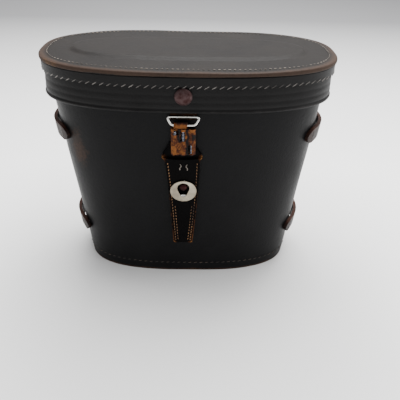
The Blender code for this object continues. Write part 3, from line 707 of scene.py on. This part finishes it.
def metal(name, colour, tarnish, roughness, blotch=90.0):
    """Plated or coloured metal with a thin cloudy tarnish and fine scratches."""
    made, tree, skin, place = new_finish(name)
    cloud = clouds(tree, place, blotch, 5.0, 0.6)
    stretched = step(tree, "ShaderNodeMapping", {"Vector": place, "Scale": (3.0, 1.0, 0.25)}).outputs["Vector"]
    share = between(tree, cloud, 0.35, 0.7)
    tree.links.new(mixed(tree, share, shade(*colour), shade(*tarnish)), skin.inputs["Base Color"])
    skin.inputs["Metallic"].default_value = 1.0
    spread = between(tree, cloud, 0.3, 0.7, roughness - 0.06, roughness + 0.12)
    tree.links.new(spread, skin.inputs["Roughness"])
    scratches = raised(tree, 0.12, 0.0001, clouds(tree, stretched, 900.0, 3.0))
    tree.links.new(scratches, skin.inputs["Normal"])
    return made


def fix_in_place():
    """Makes its place, turn and size the piece's own."""
    bpy.ops.object.transform_apply(location=True, rotation=True, scale=True)


def turned(name, profile, centre):
    """A piece turned on the lathe, on an axis that points out of the front. Profile: radius and height."""
    bpy.ops.mesh.primitive_plane_add(size=0.001)
    piece = name_it(name)
    open_up()
    bpy.ops.mesh.merge(type="CENTER")
    bpy.ops.transform.translate(value=(profile[0][0], 0, profile[0][1]))
    for (radius, height), (next_radius, next_height) in zip(profile, profile[1:]):
        move = (next_radius - radius, 0, next_height - height)
        bpy.ops.mesh.extrude_region_move(TRANSFORM_OT_translate={"value": move})
    bpy.ops.mesh.select_all(action="SELECT")
    bpy.ops.mesh.spin(steps=48, angle=2 * math.pi, center=(0, 0, 0), axis=(0, 0, 1))
    close_up()
    close_seams(piece, 0.000001)
    piece.rotation_euler.x = math.pi / 2
    piece.location = centre
    fix_in_place()
    smooth(piece, 35)
    return piece


def dome(radius, low, high, count=7):
    """The profile of a low dome, from its top down to its rim."""
    turns = [math.pi / 2 * index / count for index in range(count + 1)]
    return [(radius * math.sin(turn), low + (high - low) * math.cos(turn)) for turn in turns]


stud_low, stud_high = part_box("closure_stud")
stud_x, stud_z = (stud_low.x + stud_high.x) / 2, (stud_low.z + stud_high.z) / 2
wall_y = float(face_y(body_form(stud_z), stud_x, stud_z, -1))
stud_tip = wall_y - stud_low.y
stud_tail = wall_y - stud_high.y
stud_profile = dome(0.0030, stud_tip - 0.0018, stud_tip) + [
    (0.0032, stud_tip - 0.0021),
    (0.0031, stud_tip - 0.0027),
    (0.0021, stud_tip - 0.0032),
    (0.0021, 0.0013),
    (0.0026, 0.0008),
    (0.0038, 0.0006),
    (0.0038, gap),
    (0.0014, gap),
    (0.0014, stud_tail),
    (0.0, stud_tail),
]
dark_brass = metal("dark_brass", (48, 27, 27), (30, 19, 18), 0.30)
knob = turned("stud_knob", stud_profile, (stud_x, wall_y, stud_z))
dress(knob, dark_brass, "case_body", ["closure_stud"])
for node in ("stud_washer", "rivet_washer"):
    cover(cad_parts[node], dark_brass)


# The top of the lid: a stiff panel covered in leather, with a low oval pressed up in it. Its raw edge stands
# a little over the side, worn down to brown hide, and a fine row of stitches runs round near the edge.
rim_top_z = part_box("lid_top")[1].z - 0.001
rim_half_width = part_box("lid_top")[1].x
rim_half_depth = -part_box("lid_top")[0].y
lid_squareness = mouth_form[2]
panel, plateau_rise = 0.0028, 0.0012
plateau_width, plateau_depth = rim_half_width - 0.0202, rim_half_depth - 0.0232
plateau_foot, plateau_slope = 0.0028, 0.0054
edge_round, edge_drop = 0.0009, 0.0008


def lid_ring(inset, z):
    return rim_half_width - inset, rim_half_depth - inset, lid_squareness, z


top_rings = []
for share in (0.0, 0.15, 0.3, 0.45, 0.6, 0.72, 0.82, 0.88):
    top_rings.append((plateau_width * share, plateau_depth * share, lid_squareness, rim_top_z + plateau_rise))
for index in range(9):
    outset = plateau_foot - plateau_slope * (1 - index / 8)
    rise = plateau_rise * (0.5 + 0.5 * math.cos(math.pi * index / 8))
    top_rings.append((plateau_width + outset, plateau_depth + outset, lid_squareness, rim_top_z + rise))
for share in (0.15, 0.3, 0.45, 0.6, 0.7):
    half_width = plateau_width + plateau_foot + (rim_half_width - plateau_width - plateau_foot) * share
    half_depth = plateau_depth + plateau_foot + (rim_half_depth - plateau_depth - plateau_foot) * share
    top_rings.append((half_width, half_depth, lid_squareness, rim_top_z))
for inset, drop in ((0.0042, 0), (0.0034, 0), (0.0026, 0), (0.0019, 0.00004), (0.0013, 0.00012)):
    top_rings.append(lid_ring(inset, rim_top_z - drop))
for index in range(1, 6):
    turn = math.pi / 2 * index / 5
    drop = 0.0003 + edge_drop * (1 - math.cos(turn))
    top_rings.append(lid_ring(edge_round * (1 - math.sin(turn)), rim_top_z - drop))
for drop, inset in ((0.0016, 0.0), (0.0021, 0.0), (0.0025, 0.0001), (panel, 0.0004), (panel, 0.004)):
    top_rings.append(lid_ring(inset, rim_top_z - drop))
top_rings.append((0.0, 0.0, lid_squareness, rim_top_z - panel))
lid_panel = rolled("lid_panel", top_rings, 360)
settle(lid_panel, 0.00035, 0.03)
smooth(lid_panel, 60)


def rim_rub(x, y, z):
    reach = np.abs(x / rim_half_width) ** lid_squareness + np.abs(y / rim_half_depth) ** lid_squareness
    inset = (1 - np.minimum(reach, 1) ** (1 / lid_squareness)) * rim_half_depth
    edge = 0.36 * near(inset, 0.0024) * (z > rim_top_z - 0.0026)
    left = 0.30 * near(x + 0.080, 0.008) * near(y + 0.021, 0.012)
    right = 0.10 * near(x - 0.083, 0.014) * near(y + 0.018, 0.018)
    margin = 0.10 * near(inset, 0.008)
    return 0.04 + edge + margin + (left + right) * near(inset, 0.0014)


top_dyes = (22, 20, 19), (31, 28, 26), (58, 46, 39), (136, 100, 62)
top_leather = leather("top_leather", *top_dyes, 0.47, gloss=0.055, sheen=0.03, ragged=0.3, relief=0.8)
dress(lid_panel, top_leather, "lid", ["lid_top"], worn_and_lit=rim_rub)


row_inset, rim_pitch = 0.0052, 0.0030
rim_form = (rim_half_width - row_inset, rim_half_depth - row_inset, lid_squareness)
pale_thread = thread("pale_thread", (136, 127, 116), (56, 50, 46))
rim_places = []
for (x, y), (out_x, out_y) in evenly_round(rim_form, rim_pitch):
    rim_places.append((Vector((x, y, rim_top_z + 0.0002)), Vector((-out_y, out_x, 0)), Vector((0, 0, 1))))
sew("rim_stitches", rim_places, pale_thread, "lid", length=0.0017, thickness=0.0005)


# The side of the lid: a leather hoop that slips over the collar, with a bead creased round its lip. A narrow
# band is sewn round its top, under the rim, with slanted stitches over the band's lower edge.
lip_half_width, lip_half_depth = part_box("lid_skirt")[1].x, -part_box("lid_skirt")[0].y
shoulder_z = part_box("rim_band")[0].z
lean_sides, lean_front = 0.0008, 0.0016
skirt_thickness = 0.0022
under_rim_z = rim_top_z - panel - gap


def lid_form(z):
    """Half width, half depth and squareness of the lid's side at a height."""
    share = min(1.0, max(0.0, (z - lip_z) / (shoulder_z - lip_z)))
    return lip_half_width - lean_sides * share, lip_half_depth - lean_front * share, lid_squareness


def skirt_relief(z):
    """The bead at the lip, the crease above it, and two soft creases higher up."""
    above = z - lip_z
    bead = 0.00045 * near(above - 0.0008, 0.0007)
    crease = 0.00016 * near(above - 0.0024, 0.0006)
    return bead - crease - 0.00014 * near(above - 0.0062, 0.0007) - 0.00012 * near(above - 0.0105, 0.0008)


def skirt_ring(z):
    half_width, half_depth, squareness = lid_form(z)
    out = skirt_relief(z)
    return half_width + out, half_depth + out, squareness, z


skirt_levels = list(np.linspace(lip_z, lip_z + 0.0032, 12)) + list(np.linspace(lip_z + 0.0038, under_rim_z, 26))
skirt_rings = [skirt_ring(z) for z in skirt_levels]
lid_side = hoop("lid_side", skirt_rings, round_steps, skirt_thickness, 0.0004, (0.0003, 0.03))


def skirt_wear_and_sheen(x, y, z):
    # The bead at the lip is lighter: partly rubbed and dusty, and partly a painted highlight where it catches the
    # light from above.
    lip = 0.28 * near(z - lip_z - 0.0010, 0.0005)
    # Both ends of the side are painted lighter grey: a painted sheen where the side turns away towards the
    # silhouette.
    painted_end_sheen = 0.28 * (np.abs(x) / lip_half_width) ** 4
    return 0.05 + lip + painted_end_sheen


# The side leather's brown is a neutral grey. On the lid side it gives the painted sheen at the ends and the lighter
# bead; on the band it is the rubbed lower edge.
side_leather = leather(
    "side_leather", (12, 11, 11), (19, 18, 18), (46, 44, 43), (104, 88, 70), 0.41, gloss=0.12, ragged=0.3
)
dress(lid_side, side_leather, "lid", ["lid_skirt"], worn_and_lit=skirt_wear_and_sheen)

band_thickness, band_pitch, band_slant = 0.001, 0.0044, 32
band_half_width, band_half_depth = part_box("rim_band")[1].x, -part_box("rim_band")[0].y
band_levels = np.linspace(shoulder_z, under_rim_z, 9)
band_rings = [(band_half_width, band_half_depth, lid_squareness, z) for z in band_levels]
lid_band = hoop("lid_band", band_rings, round_steps, band_thickness, 0.0004, (0.00015, 0.02))
mark_wear_and_light(lid_band, lambda x, y, z: 0.05 + 0.2 * near(z - shoulder_z, 0.0007))
dress(lid_band, side_leather, "lid", ["rim_band"])
band_form = (band_half_width - 0.0003, band_half_depth - 0.0003, lid_squareness)
band_places = places_round(band_form, shoulder_z + 0.0002, 0.0002, band_pitch, band_slant)
sew("band_stitches", band_places, grey_thread, "lid", length=0.0038, thickness=0.00062)

under_low_z, under_high_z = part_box("lid_lining")[0].z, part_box("lid_lining")[1].z
under_width, under_depth, _ = lid_form(under_low_z)
under_inset = skirt_thickness + 2 * gap


def under_ring(inset, z):
    return under_width - under_inset - inset, under_depth - under_inset - inset, lid_squareness, z


under_rings = [
    (*centre_ring, under_low_z),
    under_ring(0.02, under_low_z),
    under_ring(0.0004, under_low_z),
    under_ring(0, under_low_z + 0.0004),
    under_ring(0, under_high_z),
    (*centre_ring, under_high_z),
]
under_lid_felt = rolled("under_lid_felt", under_rings, 160)
smooth(under_lid_felt)
dress(under_lid_felt, brown_felt, "lid", ["lid_lining"])


# The hinge: one wide strip of supple leather sewn to the back of the body and to the back of the lid. It is laid
# as one fixed piece on no body, stepping out over the lid's lip, where the real strip bends.
hinge_low, hinge_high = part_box("hinge_strip_lower")[0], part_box("hinge_strip_upper")[1]
hinge_half, hinge_thickness, hinge_margin = hinge_high.x, 0.0016, 0.0028


def hinge_face(x, z):
    """The inner face of the strip: on the body below, and stepping out over the lip on to the lid above."""
    body_y = face_y(body_form(min(z, lip_z)), x, z, 1)
    lid_y = face_y(lid_form(z), x, z, 1)
    share = min(1.0, max(0.0, (z - lip_z + 0.0060) / 0.0058))
    return float(body_y + (lid_y - body_y) * share * share * (3 - 2 * share)) + gap


def lay_hinge(u, v):
    x = (2 * u - 1) * hinge_half
    z = hinge_low.z + (hinge_high.z - hinge_low.z) * v
    return x, np.array([hinge_face(a, b) for a, b in zip(x, z)]), z


hinge_strap = cut_sheet("hinge_strap", 60, 72, lay_hinge)
make_up(hinge_strap, to_the_back, hinge_thickness, 0.0005, (0.0002, 0.02))


def hinge_rub(x, y, z):
    edge = np.minimum(hinge_half - np.abs(x), np.minimum(z - hinge_low.z, hinge_high.z - z))
    fold = 0.25 * near(z - lip_z, 0.0025)
    return 0.05 + fold + 0.5 * near(edge, 0.0013)


mark_wear_and_light(hinge_strap, hinge_rub)
cover(hinge_strap, wall_leather)
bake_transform(hinge_strap)
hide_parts("hinge_strip_lower", "hinge_strip_upper")


def hinge_top(x, z):
    return hinge_face(x, z) + hinge_thickness


for name, body, from_z, to_z, end_z in (
    ("hinge_stitches_lower", "case_body", hinge_low.z + hinge_margin, lip_z - 0.0085, hinge_low.z + hinge_margin),
    ("hinge_stitches_upper", "lid", lip_z + 0.0045, hinge_high.z - hinge_margin, hinge_high.z - hinge_margin),
):
    left, right = -hinge_half + hinge_margin, hinge_half - hinge_margin
    lines = ((left, from_z), (left, to_z)), ((right, from_z), (right, to_z)), ((left, end_z), (right, end_z))
    places = []
    for start, end in lines:
        places += line_of_stitches(start, end, row_pitch, hinge_top, 1)
    sew(name, places, grey_thread, body)


# The hanger and its rivet: a blackened steel plate inside the lid's side, held by one domed brass rivet, with
# its foot hooked under the top bar of the wire loop.
nickel = metal("nickel", (164, 156, 139), (120, 110, 95), 0.32)
bright_nickel = metal("bright_nickel", (238, 238, 234), (205, 202, 192), 0.22)
cover(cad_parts["clasp_hanger"], metal("black_steel", (26, 20, 17), (50, 32, 21), 0.55, blotch=300.0))
rivet_low, rivet_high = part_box("clasp_rivet")
clasp_x, rivet_z = (rivet_low.x + rivet_high.x) / 2, (rivet_low.z + rivet_high.z) / 2
rivet_radius = (rivet_high.x - rivet_low.x) / 2
rivet_seat = rivet_low.y + 0.0019
rivet_profile = dome(rivet_radius - 0.0002, 0.0004, 0.0019) + [
    (rivet_radius, 0.0003),
    (rivet_radius - 0.0002, 0.0),
    (0.0013, 0.0),
    (0.0013, rivet_seat - rivet_high.y),
    (0.0, rivet_seat - rivet_high.y),
]
red_brass = metal("red_brass", (74, 60, 60), (46, 25, 24), 0.46, blotch=260.0)
rivet_head = turned("rivet_head", rivet_profile, (clasp_x, rivet_seat, rivet_z))
dress(rivet_head, red_brass, "lid", ["clasp_rivet"])


# The wire loop: 1.4 mm nickelled wire bent round pins into a trapezoid, its ends brazed together.
wire_radius = 0.0007
loop_low, loop_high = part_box("wire_loop")
bar_z, loop_foot_z = loop_high.z - wire_radius, loop_low.z + wire_radius
bar_y, loop_foot_y = loop_high.y - wire_radius, loop_low.y + wire_radius
bar_half, loop_foot_half, bend_radius = 0.0100, 0.00725, 0.0016
bpy.ops.mesh.primitive_plane_add(size=1.0)
loop_wire = name_it("loop_wire")
for corner in loop_wire.data.vertices:
    half, y, z = (bar_half, bar_y, bar_z) if corner.co.y > 0 else (loop_foot_half, loop_foot_y, loop_foot_z)
    corner.co = (clasp_x + math.copysign(half, corner.co.x), y, z)
open_up()
bpy.ops.mesh.delete(type="ONLY_FACE")
bpy.ops.mesh.select_all(action="SELECT")
bpy.ops.mesh.bevel(offset=bend_radius, segments=7, affect="VERTICES")
close_up()
bpy.ops.object.convert(target="CURVE")
bpy.context.object.data.bevel_depth = wire_radius
bpy.context.object.data.bevel_resolution = 5
bpy.ops.object.convert(target="MESH")
loop_wire = bpy.context.object
close_seams(loop_wire)
smooth(loop_wire, 60)
dress(loop_wire, bright_nickel, "clasp_loop", ["wire_loop"])


# The sleeve: a pocket of thin leather moulded over three coil springs and folded at the top over the wire
# loop's foot. Its black finish has flaked off, the hide is orange and creased, and the springs show in slits.
sleeve_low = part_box("spring_sleeve")[0]
sleeve_y, ridge_pitch, ridge_radius = loop_foot_y, 0.0053, 0.0021
sleeve_top_z = loop_foot_z - 0.0021
sleeve_half, web_half, sleeve_front_share = 0.0077, 0.00145, 0.6
slits = (
    (-ridge_pitch + 0.0008, 0.00165, 0.1180, 0.1214),
    (-0.0002, 0.00160, 0.1138, 0.1202),
    (ridge_pitch - 0.0013, 0.00120, 0.1052, 0.1112),
)


def ridges(x):
    """How far the sleeve's front stands out over its middle plane."""
    out = np.full_like(x, web_half)
    for index in (-1, 0, 1):
        aside = x - index * ridge_pitch
        out = np.maximum(out, np.sqrt(np.maximum(ridge_radius**2 - aside**2, 0)))
    return out


def lay_sleeve(u, v):
    """Round the pocket: across the ridged front from left to right, and back across the flat rear."""
    front = u <= sleeve_front_share
    across = np.where(front, u / sleeve_front_share, 1 - (u - sleeve_front_share) / (1 - sleeve_front_share))
    x = (2 * across - 1) * sleeve_half
    ragged = np.array([noise.noise(Vector((a * 700, b, 3.0))) for a, b in zip(x, front * 1.0)])
    z = sleeve_low.z + (sleeve_top_z - sleeve_low.z) * v
    z = z + (1 - v) ** 8 * 0.0006 * (ragged + 0.5)
    bulge = np.where(front, -ridges(x), ridge_radius * 0.92)
    round_side = np.sqrt(np.maximum(1 - (np.abs(x) / sleeve_half) ** 12, 0))
    dent = np.array([noise.noise(Vector((a * 350, 7.0, b * 170))) for a, b in zip(x, z)])
    y = sleeve_y + bulge * round_side + np.where(front, dent * 0.00028 * round_side, 0)
    return x + clasp_x, y, z


pocket = cut_sheet("spring_pocket", 150, 90, lay_sleeve)
open_up("DESELECT")
bpy.ops.mesh.select_mode(type="FACE")
close_up()
for face in pocket.data.polygons:
    aside = face.center.x - clasp_x
    face.select = face.center.y < sleeve_y and any(
        abs(aside - middle + 0.00015 * math.sin(face.center.z * 2600)) < half and low < face.center.z < high
        for middle, half, low, high in slits
    )
bpy.ops.object.mode_set(mode="EDIT")
bpy.ops.mesh.delete(type="FACE")
bpy.ops.mesh.select_mode(type="VERT")
close_up()
close_seams(pocket, 0.00001)


def from_the_sleeve(centre):
    return Vector((centre.x - clasp_x, centre.y - sleeve_y, 0))


turn_out(pocket, from_the_sleeve)
finish_with(pocket, "SOLIDIFY", thickness=0.0005, offset=-1.0)
smooth(pocket, 60)


def crest_rub(x, y, z):
    """The dye stays in the valleys and cracks, and has gone from the crests."""
    stand = (sleeve_y - y - web_half) / (ridge_radius - web_half)
    valley = np.clip(1 - stand, 0, 1)
    aside = x - clasp_x
    wander = 0.0004 * np.sin(z * 900)
    right_crease = near(aside - ridge_pitch / 2 + wander, 0.00065)
    left_crease = near(aside + ridge_pitch / 2 - wander, 0.0009) * np.clip((z - 0.1125) / 0.003, 0, 1)
    right_corner = near(aside - ridge_pitch - 0.001, 0.0014) * near(z - 0.1165, 0.0022)
    low = 0.5 * near(z - sleeve_low.z, 0.0007)
    dark = 1.0 * right_crease + 0.9 * left_crease + 0.8 * right_corner + low
    return np.where(y < sleeve_y, 0.92 - 0.15 * valley - dark, 0.2)


pocket_dyes = (8, 6, 5), (18, 11, 9), (66, 33, 18), (116, 70, 33)
pocket_leather = leather(
    "pocket_leather", *pocket_dyes, 0.6, gloss=0.12, ragged=2.0, pebble=0.0006, relief=1.8
)
dress(pocket, pocket_leather, "closing_tab", ["spring_sleeve"], worn_and_lit=crest_rub)

fold_inner, fold_leather, fold_width = 0.0010, 0.0005, 0.0082
fold_left, fold_bow = clasp_x - 0.0058, 1.35
rear_share, turn_share, front_share = 0.2, 0.45, 0.35
rear_length, front_length = 0.0030, 0.0012


def lay_fold(u, v):
    """A tongue from the pocket's rear, over the loop's foot, and down on to its front."""
    radius = fold_inner + fold_leather * 0.1
    turn = np.clip((v - rear_share) / turn_share, 0, 1) * math.pi
    down_rear = np.clip((rear_share - v) / rear_share, 0, 1) * rear_length
    down_front = np.clip((v - rear_share - turn_share) / front_share, 0, 1) * front_length
    ragged = np.array([noise.noise(Vector((a * 9, 1.0, 5.0))) for a in u])
    y = loop_foot_y + radius * np.cos(turn) - down_front * 0.6
    z = loop_foot_z + fold_bow * radius * np.sin(turn) - down_rear - down_front * (1 + 0.25 * ragged)
    x = fold_left + fold_width * u + 0.0006 * np.sin(v * 5) * u**3
    return x, y, z


fold = cut_sheet("pocket_fold", 40, 50, lay_fold)


def off_the_loop_foot(centre):
    return Vector((0, centre.y - loop_foot_y, centre.z - loop_foot_z))


make_up(fold, off_the_loop_foot, fold_leather, 0.00025, (0.0001, 0.0025), angle=60)
# The fold's lower front is rubbed to tan hide; it is painted darker towards its top and over its rear half, as
# painted shade where the leather turns over the loop's foot and away from the light.
mark_wear_and_light(fold, lambda x, y, z: np.clip(0.85 - (z - loop_foot_z) / 0.0026, 0.1, 0.85) - 0.25 * (y > loop_foot_y))
dress(fold, pocket_leather, "closing_tab")

spring_low, spring_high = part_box("coil_spring_middle")
spring_wire_radius, coil_radius, spring_turns = 0.00032, 0.00095, 15
pitch = (spring_high.z - spring_low.z - 2 * spring_wire_radius) / spring_turns
spring_steel = metal("spring_steel", (172, 176, 188), (122, 124, 134), 0.34)
for index, hand in ((-1, "left"), (0, "middle"), (1, "right")):
    bpy.ops.mesh.primitive_circle_add(vertices=7, radius=spring_wire_radius, rotation=(math.pi / 2, 0, 0))
    spring = name_it(f"pull_spring_{hand}")
    fix_in_place()
    for vertex in spring.data.vertices:
        vertex.co.x += coil_radius
    coils = {"axis": "Z", "angle": 2 * math.pi, "screw_offset": pitch, "iterations": spring_turns}
    finish_with(spring, "SCREW", **coils, steps=14, render_steps=14, use_merge_vertices=False)
    open_up("DESELECT")
    bpy.ops.mesh.select_non_manifold()
    bpy.ops.mesh.edge_face_add()
    close_up()
    spring.location = (clasp_x + index * ridge_pitch, sleeve_y, spring_low.z + spring_wire_radius)
    fix_in_place()
    close_seams(spring)
    smooth(spring, 60)
    dress(spring, spring_steel, "closing_tab", [f"coil_spring_{hand}"])


# The tab: two layers of leather sewn together down both edges. The rear one runs up behind the pocket and the
# front one ends in a hollow below it. Their cut edges are worn to tan hide, most of all at the two upper ears.
tab_leather_thickness, hollow, foot_corner = 0.0015, 0.0016, 0.0012
front_low, front_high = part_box("tab_front")
rear_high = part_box("tab_back")[1]
foot_z, ear_z = front_low.z, front_high.z
ear_half, waist_half, foot_half = (front_high.x - front_low.x) / 2, 0.0114, 0.0066
shoulder_half, hole_half_width, hole_half_height = 0.0076, 0.0050, 0.0072
plate_low, plate_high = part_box("keyhole_plate")
plate_z = (plate_low.z + plate_high.z) / 2
# The tab's leather is dyed blacker than the wall: partly its unworn black dye, and partly painted shade for the
# shoulders of the rear layer, which lie in shadow behind the pocket.
shaded_tab_black = leather(
    "shaded_tab_black", (4, 3, 3), (8, 7, 7), (62, 36, 20), (140, 94, 48), 0.5, gloss=0.03, ragged=1.1, pebble=0.0007
)


def tab_half(z):
    """Half the tab's width: from its foot to its ears, and in again up to its shoulders."""
    lower = foot_half + (waist_half - foot_half) * ((z - foot_z) / (ear_z - foot_z)) ** 0.9
    lower = lower + (ear_half - waist_half) * np.clip(1 - (ear_z - z) / 0.0035, 0, 1) ** 2
    upper = ear_half + (shoulder_half - ear_half) * np.clip((z - ear_z) / (rear_high.z - ear_z), 0, 1) ** 0.8
    cut = foot_corner * (1 - np.sqrt(np.clip(1 - (1 - (z - foot_z) / foot_corner) ** 2, 0, 1)))
    return np.where(z > ear_z, upper, lower) - np.where(z < foot_z + foot_corner, cut, 0)


def tab_middle(z):
    """The tab hangs a little askew, bowed to one side."""
    return clasp_x - 0.0004 - 0.0005 * np.clip((z - ear_z + 0.008) / 0.008, 0, 1) + 0.0004 * np.sin((z - foot_z) * 45)


def tab_wave(x, z):
    """The tab isn't quite flat: it cups a little between its edges."""
    return 0.00012 * np.sin(z * 140) + 0.0002 * ((x - clasp_x) / ear_half) ** 2


def lay_front(u, v):
    across = 2 * u - 1
    top = ear_z - hollow * (1 - across**2) ** 0.6
    z = foot_z + (top - foot_z) * v
    x = tab_middle(z) + across * tab_half(z)
    return x, front_high.y - 0.00005 - tab_wave(x, z), z


def lay_rear(u, v):
    across = 2 * u - 1
    z = foot_z + (rear_high.z - foot_z) * v
    x = tab_middle(z) + across * tab_half(z)
    return x, np.full_like(x, rear_high.y - 0.00005), z


def tab_rub(x, y, z):
    aside = np.abs(x - tab_middle(z))
    edge = tab_half(z) - aside
    lower_half = np.clip((plate_z + 0.008 - z) / 0.02, 0.25, 1) * (z < ear_z + 0.0004)
    side = 0.36 * near(edge, 0.0008) * lower_half
    ears = 0.75 * near(aside - ear_half, 0.0030) * near(z - ear_z + 0.0010, 0.0026)
    foot = 0.45 * near(z - foot_z, 0.0012) * near(aside - foot_half + 0.001, 0.002)
    lower = 0.10 * np.clip((plate_z - z) / 0.03, 0, 1) * near(edge, 0.0034)
    return 0.02 + side + ears + foot + lower


def punch_out(piece, punch):
    """Cuts a hole with a punch, and puts the punch away."""
    finish_with(piece, "BOOLEAN", object=punch, operation="DIFFERENCE", solver="EXACT")
    bpy.data.objects.remove(punch)


for name, node, lay in (("tab_front_layer", "tab_front", lay_front), ("tab_rear_layer", "tab_back", lay_rear)):
    layer = cut_sheet(name, 44, 120, lay)
    make_up(layer, to_the_front, tab_leather_thickness, 0.00035, angle=50)
    centre = (clasp_x, layer.data.vertices[0].co.y, plate_z)
    bpy.ops.mesh.primitive_cylinder_add(vertices=40, radius=1, depth=0.02, location=centre)
    punch = bpy.context.object
    punch.rotation_euler.x = math.pi / 2
    punch.scale = (hole_half_width, hole_half_height, 1)
    fix_in_place()
    punch_out(layer, punch)
    smooth(layer, 50)
    dress(layer, shaded_tab_black, "closing_tab", [node], worn_and_lit=tab_rub)


def tab_face(x, z):
    return front_low.y - float(tab_wave(x, z)) + 0.00005


tan_thread = thread("tan_thread", (150, 108, 66), (58, 36, 21))
tab_places, tab_pitch = [], 0.0023
for side in (-1, 1):
    for inset, from_z, to_z, slant in (
        (0.0017, ear_z - 0.0035, foot_z + 0.0016, 8),
        (0.0034, plate_low.z - 0.004, foot_z + 0.0022, -8),
    ):
        corners = [from_z + (to_z - from_z) * index / 4 for index in range(5)]
        line = [(float(tab_middle(z) + side * (tab_half(z) - inset)), z) for z in corners]
        for start, end in zip(line, line[1:]):
            tab_places += line_of_stitches(start, end, tab_pitch, tab_face, -1, slant=slant * side)
sew("tab_stitches", tab_places, tan_thread, "closing_tab", length=0.0017, thickness=0.0005)

for name, x, z, bend in (("loose_thread_left", -0.0048, 0.0948, 1), ("loose_thread_right", -0.0003, 0.0945, -1)):
    bpy.ops.mesh.primitive_circle_add(vertices=7, radius=0.00036)
    loose = name_it(name)
    open_up()
    bpy.ops.mesh.edge_face_add()
    for index in range(7):
        move = (bend * 0.0004 * math.cos(index * 0.9), -0.00010 * math.cos(index), -0.0006)
        bpy.ops.mesh.extrude_region_move(TRANSFORM_OT_translate={"value": move})
    bpy.ops.mesh.select_all(action="SELECT")
    bpy.ops.mesh.normals_make_consistent(inside=False)
    close_up()
    loose.location = (x, tab_face(x, z) - 0.0004, z + 0.0020)
    fix_in_place()
    smooth(loose, 60)
    dress(loose, pale_thread, "closing_tab")


# The keyhole plate: an oval of nickel silver, made flat with rounded edges, clinched to the tab. Its hole is round at
# the top and narrows down, and the metal at the foot of the hole is dished back as a small lip, given the brighter
# nickel of the wire as a painted highlight.
plate_half_width, plate_half_height = (plate_high.x - plate_low.x) / 2, (plate_high.z - plate_low.z) / 2
plate_thickness = 0.001
keyhole_rise, keyhole_radius, keyhole_foot_drop, keyhole_foot_radius = 0.0022, 0.0040, 0.0017, 0.0024
key_sides, foot_sides = 42, 22
bpy.ops.mesh.primitive_cylinder_add(vertices=96, radius=1, depth=plate_thickness)
plate = name_it("keyhole_escutcheon")
plate.rotation_euler.x = math.pi / 2
plate.scale = (plate_half_width, plate_half_height, 1)
fix_in_place()
bpy.ops.mesh.primitive_circle_add(vertices=key_sides + foot_sides, radius=1, fill_type="NGON")
key = bpy.context.object
for index, vertex in enumerate(key.data.vertices):
    turn = math.radians(-20) + math.radians(220) * index / (key_sides - 1)
    centre_z, radius = keyhole_rise, keyhole_radius
    if index >= key_sides:
        turn = math.radians(200) + math.radians(140) * (index - key_sides) / (foot_sides - 1)
        centre_z, radius = -keyhole_foot_drop, keyhole_foot_radius
    vertex.co = (radius * math.cos(turn), 0, centre_z + radius * math.sin(turn))
open_up()
bpy.ops.transform.translate(value=(0, -0.003, 0))
bpy.ops.mesh.extrude_region_move(TRANSFORM_OT_translate={"value": (0, 0.006, 0)})
close_up()
close_seams(key)
punch_out(plate, key)
plate.location = (clasp_x, (plate_low.y + plate_high.y) / 2, plate_z)
take_up(plate)
fix_in_place()
round_edges(plate, 0.00028)
smooth(plate, 35)
dress(plate, nickel, "closing_tab", ["keyhole_plate"])


def lay_lip(u, v):
    """A crescent at the foot of the keyhole, dished back from the plate's face towards the tab."""
    turn = math.radians(208) + math.radians(124) * u
    reach = keyhole_foot_radius + 0.0002 - 0.0012 * v * np.sin(math.pi * u) ** 0.7
    x = clasp_x + reach * np.cos(turn)
    z = plate_z - keyhole_foot_drop + reach * np.sin(turn)
    return x, plate_low.y + 0.0001 + 0.0010 * v, z


lip = cut_sheet("keyhole_lip", 24, 6, lay_lip)
make_up(lip, to_the_front, 0.0005, 0.00012, outwards=False, angle=50)
# The lip is the plate's own metal, but takes the brighter nickel of the wire: a painted highlight for the bright
# crescent at the foot of the keyhole.
dress(lip, bright_nickel, "closing_tab")
